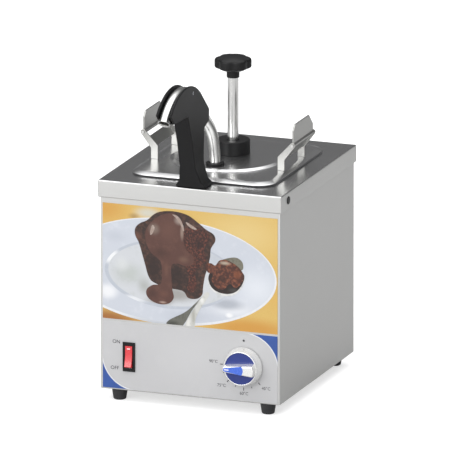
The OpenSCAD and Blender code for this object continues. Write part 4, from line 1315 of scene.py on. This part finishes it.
# The serving suggestion, a sauced cake and a spoon on a white plate, from the cloth upwards.
PICTURE = (
    Area("picture_cloth", 1, Ink("printed yellow cloth", "#e4bf6c", "#d9b25b", 0.9, 0.5, (
        Glow((0, 6), 46, 26, "#d99f43", 0.85), Glow((160, 22), 70, 40, "#ecd08a", 0.8),
        Glow((52, 7), 22, 9, "#d9d6c8", 0.95, 0.1), Glow((36, 12), 9, 5, "#a48658", 0.7),
        Glow((6, 128), 60, 16, "#a5662a", 0.95, 0.1),
        Glow((168, 126), 70, 18, "#d79a3f", 0.9, 0.2), Glow((196, 84), 22, 30, "#e2b55c", 0.6),
    ))),
    Area("picture_plate_edge", 2, Ink("printed plate edge", "#eef0f3", "#e4e7ec", 6.0, 0.4, (
        Glow((60, 130), 90, 12, "#b9bfc9", 0.8),
    )), oval((76, 70), 123, 59)),
    Area("picture_plate_rim", 3, Ink("printed plate rim", "#d3d8e1", "#dce0e8", 12.0, 0.4, (
        Glow((176, 80), 42, 34, "#e9edf3", 0.9), Glow((150, 106), 40, 12, "#f2f4f8", 0.8),
        Glow((142, 100), 26, 9, "#b4b9c2", 0.9, 0.2), Glow((6, 98), 16, 12, "#f8f9fb", 0.95, 0.2),
        Glow((14, 36), 22, 10, "#c8cdd7", 0.8), Glow((145, 112), 6, 4, "#ffffff", 0.9, 0.2),
        Glow((96, 118), 40, 12, "#c5cad4", 0.8),
    )), oval((76, 69.2), 121, 57)),
    Area("picture_well_light", 4, Ink(
        "printed light on the well", "#c3c9d3", "#cdd2da", 9.0, 0.4, (
        Glow((8, 58), 16, 12, "#fafbfc", 0.95, 0.3), Glow((34, 104), 24, 6, "#f1f3f6", 0.9, 0.2),
        Glow((150, 86), 20, 22, "#e5e9ef", 0.8),
    )), oval((78, 73), 75.5, 38)),
    Area("picture_plate_well", 5, Ink("printed plate well", "#d7dade", "#ced2d3", 10.0, 0.5, (
        Glow((30, 76), 28, 18, "#c3c8c4", 0.85), Glow((22, 66), 12, 12, "#e3e6e6", 0.7),
        Glow((128, 52), 18, 14, "#c6ccd6", 0.8), Glow((82, 94), 36, 12, "#a5a39f", 0.95, 0.2),
        Glow((66, 103), 22, 7, "#9d9994", 0.8, 0.1), Glow((48, 88), 12, 14, "#b0b2ae", 0.8),
    )), oval((79, 72.6), 72.4, 35.2)),
    # The cake, its torn side, the sauce that runs down it, and bright streaks on the sauce.
    Area("picture_cake", 6, Ink("printed chocolate cake", "#33201a", "#5a3a2d", 3.2, 0.62, (
        Glow((58, 66), 12, 24, "#2b1712", 0.9, 0.2), Glow((84, 74), 16, 18, "#2a1813", 0.85, 0.2),
        Glow((112, 44), 12, 14, "#2c1512", 0.7), Glow((40, 34), 9, 9, "#6b4233", 0.8),
        Glow((104, 20), 12, 8, "#6a5044", 0.75),
    )), smooth_outline([
        (37.5, 25), (37.5, 33), (42, 42), (48, 62), (53, 78), (60, 84), (76, 88), (92, 90),
        (98, 97), (108, 97), (114, 92), (115, 84), (117, 72), (120, 62), (123, 50), (124, 40),
        (129, 31), (127, 24), (118, 19), (110, 13), (98, 5.5), (84, 2.6), (70, 3.4), (60, 7),
        (51, 15), (43, 19),
    ])),
    Area("picture_crumb", 7, Ink("printed cake crumb", "#331813", "#7c4331", 2.2, 0.6, (
        Glow((110, 36), 9, 8, "#26100d", 0.8), Glow((101, 54), 6, 10, "#6f4633", 0.7),
        Glow((103, 84), 6, 8, "#54291e", 0.7),
    )), smooth_outline([
        (94, 22), (103, 17), (113, 19), (122, 25), (121, 33), (116, 42), (119, 52), (113, 60),
        (106, 68), (108, 80), (104, 90), (97, 88), (99, 74), (95, 62), (98, 48), (93, 36),
    ])),
    Area("picture_sauce", 8, Ink("printed chocolate sauce", "#5b382e", "#674236", 9.0, 0.5, (
        Glow((76, 24), 16, 20, "#6a4539", 0.8), Glow((59, 24), 9, 9, "#877469", 0.9, 0.1),
        Glow((88, 12), 8, 7, "#a8978d", 0.9, 0.1), Glow((91, 25), 3, 12, "#9b8578", 0.9, 0.1),
        Glow((66, 50), 16, 9, "#48291f", 0.8), Glow((93, 55), 9, 6, "#7a5a49", 0.7),
        Glow((73, 68), 4, 12, "#6f4a3c", 0.8), Glow((57, 96), 9, 8, "#4a2b22", 0.85),
        Glow((70, 95), 8, 6, "#6c4436", 0.8), Glow((69, 104.5), 6, 2, "#b79c8e", 0.8, 0.1),
    )), smooth_outline([
        (81, 5), (70, 6.5), (61, 12), (53, 20), (49, 29), (50, 40), (55, 50), (63, 56), (67, 61),
        (68, 74), (66.5, 84), (57, 86.5), (50.5, 92), (51, 99.5), (58, 105), (68, 107),
        (77, 104.5), (81.5, 98), (80, 90), (79, 78), (79, 63), (86, 60), (96, 62), (104, 57),
        (103, 50), (97, 45), (93, 36), (93, 24), (91, 14), (87, 8),
    ])),
    Area("picture_shine_0", 9, SHINE, smooth_outline([
        (80, 6), (86, 7.5), (91, 14), (93.5, 22), (92, 23), (89, 16), (84, 9.5),
    ])),
    Area("picture_shine_1", 9, SHINE, smooth_outline([
        (57, 20), (59.5, 22), (58, 28), (55, 31), (54.6, 27),
    ])),
    Area("picture_shine_2", 9, SHINE, smooth_outline([
        (96, 13), (104, 17), (108, 20), (103, 20), (97, 16),
    ])),
    # The spoon's shadow and handle, then its bowl with a lump of cake in it.
    Area("picture_spoon_shadow", 6, Ink("printed spoon shadow", "#6d6d64", "#5a5a50", 6.0, 0.5, (
        Glow((112, 98), 10, 10, "#a9aaa6", 0.8), Glow((80, 127), 10, 5, "#3f4038", 0.9),
    )), smooth_outline([
        (119, 90), (112, 96), (96, 112), (77, 123), (74, 129), (90, 130), (104, 108),
    ])),
    Area("picture_spoon_handle", 7, Ink("printed silver handle", "#d9d9d4", "#bdbdb4", 5.0, 0.5, (
        Glow((104, 116), 4, 18, "#a8a79c", 0.8), Glow((98, 126), 4, 12, "#efeee8", 0.9),
        Glow((114, 98), 4, 6, "#f6f6f2", 0.9),
    )), smooth_outline([
        (117, 90), (122, 89), (121, 94), (113, 106), (107, 118), (104, 131), (94, 131), (98, 119),
        (108, 103),
    ])),
    Area(
        "picture_spoon_back", 6, Ink("printed spoon hollow", "#7d7a6b", "#5f5c4e", 4.0, 0.5),
        smooth_outline([
            (146, 48), (154, 47.5), (160, 52), (160, 60), (150, 62), (138, 58), (136, 52),
        ]),
    ),
    Area(
        "picture_spoon_rim", 7, Ink("printed spoon rim", "#e9e9e6", "#c9cac8", 4.0, 0.5),
        smooth_outline([
            (121, 74), (123, 83), (130, 89), (141, 91), (152, 88), (160, 79), (162, 68),
            (150, 62), (130, 64),
        ]),
    ),
    Area("picture_spoon_bowl", 8, Ink("printed dark bowl", "#231511", "#3a231b", 3.0, 0.4, (
        Glow((150, 84), 9, 4, "#4c4a46", 0.7),
    )), smooth_outline([
        (121.5, 70), (123, 80), (130, 86.5), (141, 88.5), (152, 85.5), (160, 76), (161.5, 65),
        (150, 58), (130, 60),
    ])),
    Area("picture_spoon_cake", 9, Ink("printed cake lump", "#4a251a", "#8d5137", 3.4, 0.62, (
        Glow((154, 66), 7, 8, "#8a4c2c", 0.7), Glow((137, 72), 8, 7, "#31170f", 0.8),
        Glow((140, 54.5), 9, 3, "#c9b9a4", 0.75, 0.1), Glow((126, 62), 7, 5, "#6b3a2a", 0.7),
    )), smooth_outline([
        (118, 58), (124, 56), (129, 58), (134, 52), (142, 51), (150, 54), (157, 59), (161.5, 67),
        (159, 75), (152, 81), (146, 77), (138, 84), (130, 82), (125, 75), (126, 68), (120, 66),
    ])),
)
CONTROLS = (
    # The grey ground is print. Its lighter middle and the darker patches to the left and right are
    # painted light and shade across the film.
    Area("control_ground", 1, Ink("printed grey ground, painted shading", "#cdcdce", "#d0d0d1", 30.0, 0.5, (
        Glow((100, 30), 60, 50, "#d3d3d4", 0.8), Glow((190, 60), 30, 40, "#c9c9ca", 0.7),
        Glow((40, 40), 30, 30, "#c9c9cb", 0.6),
    ))),
)

# Words beside the controls, as (text, node, right and up from its middle, size of the letters).
WORDS = (
    ("ON", "switch_housing", -14.6, 15.6, 5.6), ("OFF", "switch_housing", -16.4, -13.7, 5.6),
    ("90°C", "dial_ring", -34.6, 2.2, 4.8), ("75°C", "dial_ring", -25.4, -23.6, 4.8),
    ("60°C", "dial_ring", 0.4, -30.4, 4.8), ("45°C", "dial_ring", 25.6, -22.6, 4.8),
)
# Ticks round the thermostat, as (degrees, length).
TICKS = ((180, 3.4), (225, 3.4), (270, 3.4), (315, 3.4), (202, 1.6), (248, 1.8), (292, 1.8))


@dataclass
class FrontPrints:
    """The serving picture and the markings on the front's two films.

    Places are in millimetres right of a film's left edge and down from its top.
    """

    palette: Palette
    layer_mm: float = 0.05
    thick_mm: float = 0.04
    marks_layer: float = 3.2
    corner_r: float = 37.5
    corner_line: float = 1.1
    corner_steps: int = 24
    dot_up: float = 28.4
    dot_r: float = 1.25
    tick_start: float = 23.6
    tick_w: float = 0.8

    def build(self) -> None:
        """Prints both films."""
        self.front = node_box("picture_film")[0].y
        for film, areas in (("picture", PICTURE), ("control", CONTROLS)):
            low, high = node_box(f"{film}_film")
            self.slot = f"{film}_print"
            self.origin = Vector((low.x, low.y, high.z))
            self.size = (high.x - low.x, high.z - low.z)
            for area in areas:
                self.print_area(area)
        self.print_corners()
        self.print_marks()

    def print_area(self, area: Area) -> None:
        """Prints one area of a film, cut off at the film's edges."""
        w, h = self.size
        bm = bmesh.new()
        y = self.front - area.layer * self.layer_mm
        outline = area.outline or ((0, 0), (w, 0), (w, h), (0, h))
        bm.faces.new([bm.verts.new((self.origin.x + u, y, self.origin.z - v)) for u, v in outline])
        low = Vector((self.origin.x, y, self.origin.z - h))
        high = Vector((self.origin.x + w, y, self.origin.z))
        for at, way in (
            (low, (-1, 0, 0)), (low, (0, 0, -1)), (high, (1, 0, 0)), (high, (0, 0, 1)),
        ):
            geom = bm.verts[:] + bm.edges[:] + bm.faces[:]
            bmesh.ops.bisect_plane(bm, geom=geom, plane_co=at, plane_no=way, clear_outer=True)
        pushed(bm, (0, self.thick_mm, 0))
        make_piece(bm, area.name, "housing", area.ink.build(self.origin))

    def print_corners(self) -> None:
        """Prints the two blue corners, each edged with a white line."""
        w, h = self.size
        reach, steps = self.corner_r, self.corner_steps
        for name, corner, sx, sy in (("right", (w, 0.0), -1, 1), ("left", (0.0, h), 1, -1)):
            x, y = corner[0] + sx * reach, corner[1] + sy * reach
            for part, r, ink, layer in (
                ("line", reach, WHITE_LINE, 2), ("blue", reach + self.corner_line, BLUE, 3),
            ):
                # The arc runs from one edge of the film to the other.
                first = math.acos(reach / r)
                turns = [first + (math.pi / 2 - 2 * first) * i / steps for i in range(steps + 1)]
                arc = [(x - sx * r * math.sin(a), y - sy * r * math.cos(a)) for a in turns]
                self.print_area(Area(f"corner_{name}_{part}", layer, ink, [corner] + arc))

    def print_marks(self) -> None:
        """Prints the switch's words, and the scale round the thermostat."""
        knob = node_middle("dial_ring")
        marks = bmesh.new()
        y = self.front - self.marks_layer * self.layer_mm
        for text, node, right, up, height in WORDS:
            middle = node_middle(node)
            self.add_text(marks, text, (middle.x + right, y, middle.z + up), height)
        dot = bmesh.ops.create_circle(marks, segments=24, radius=self.dot_r, cap_ends=True)
        place = upright((knob.x, y, knob.z + self.dot_up))
        bmesh.ops.transform(marks, matrix=place, verts=dot["verts"])
        for degrees, length in TICKS:
            tick = bmesh.ops.create_grid(marks, x_segments=1, y_segments=1, size=0.5)["verts"]
            bmesh.ops.scale(marks, vec=(length, self.tick_w, 1), verts=tick)
            a = math.radians(degrees)
            reach = self.tick_start + length / 2
            at = (knob.x + reach * math.cos(a), y, knob.z + reach * math.sin(a))
            bmesh.ops.transform(marks, matrix=upright(at, a), verts=tick)
        ink = BLACK.build(self.origin)
        make_piece(marks, "front_marks", "housing", ink, turn_outwards=False)

    @staticmethod
    def add_text(bm: Mesh, text: str, place: Sequence[float], height: float) -> None:
        """Adds a word to the marks, as a flat mesh.

        Args:
            bm: The marks' mesh.
            text: The word.
            place: Where its middle goes.
            height: The size of its letters.
        """
        curve = bpy.data.curves.new("word", "FONT")
        curve.body = text
        curve.size = height
        curve.align_x = "CENTER"
        curve.align_y = "CENTER"
        holder = placed("word", curve)
        bpy.context.view_layer.update()
        mesh = bpy.data.meshes.new_from_object(holder)
        bpy.data.objects.remove(holder)
        bpy.data.curves.remove(curve)
        mesh.transform(upright(place))
        bm.from_mesh(mesh)
        bpy.data.meshes.remove(mesh)


# ---- The whole ----


def main() -> None:
    """Builds the dispenser's looks round the frame."""
    logging.basicConfig(level=logging.INFO, format="%(message)s")
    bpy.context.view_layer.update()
    palette = Palette()
    palette.dress_frame()
    Studio().build()
    inlay = Finish(
        "bright blue ABS", "#3c62c6", 0.0, 0.28, Grain.EVEN, 0.9, tone=0.03, coat=0.3
    ).build()
    mark = Finish("white pad print", "#f3f1ee", 0.0, 0.45, Grain.EVEN, 0.6, tone=0.02).build()
    for assembly in (
        SheetCase(palette),
        PressedLid(palette),
        PushPump(palette),
        Spout(palette),
        LiftHandles(palette),
        RockerSwitch(palette, mark),
        ThermostatKnob(palette, inlay, mark),
        FrontPrints(palette),
    ):
        LOG.info("%s", type(assembly).__name__)
        assembly.build()


if __name__ == "__main__":
    main()
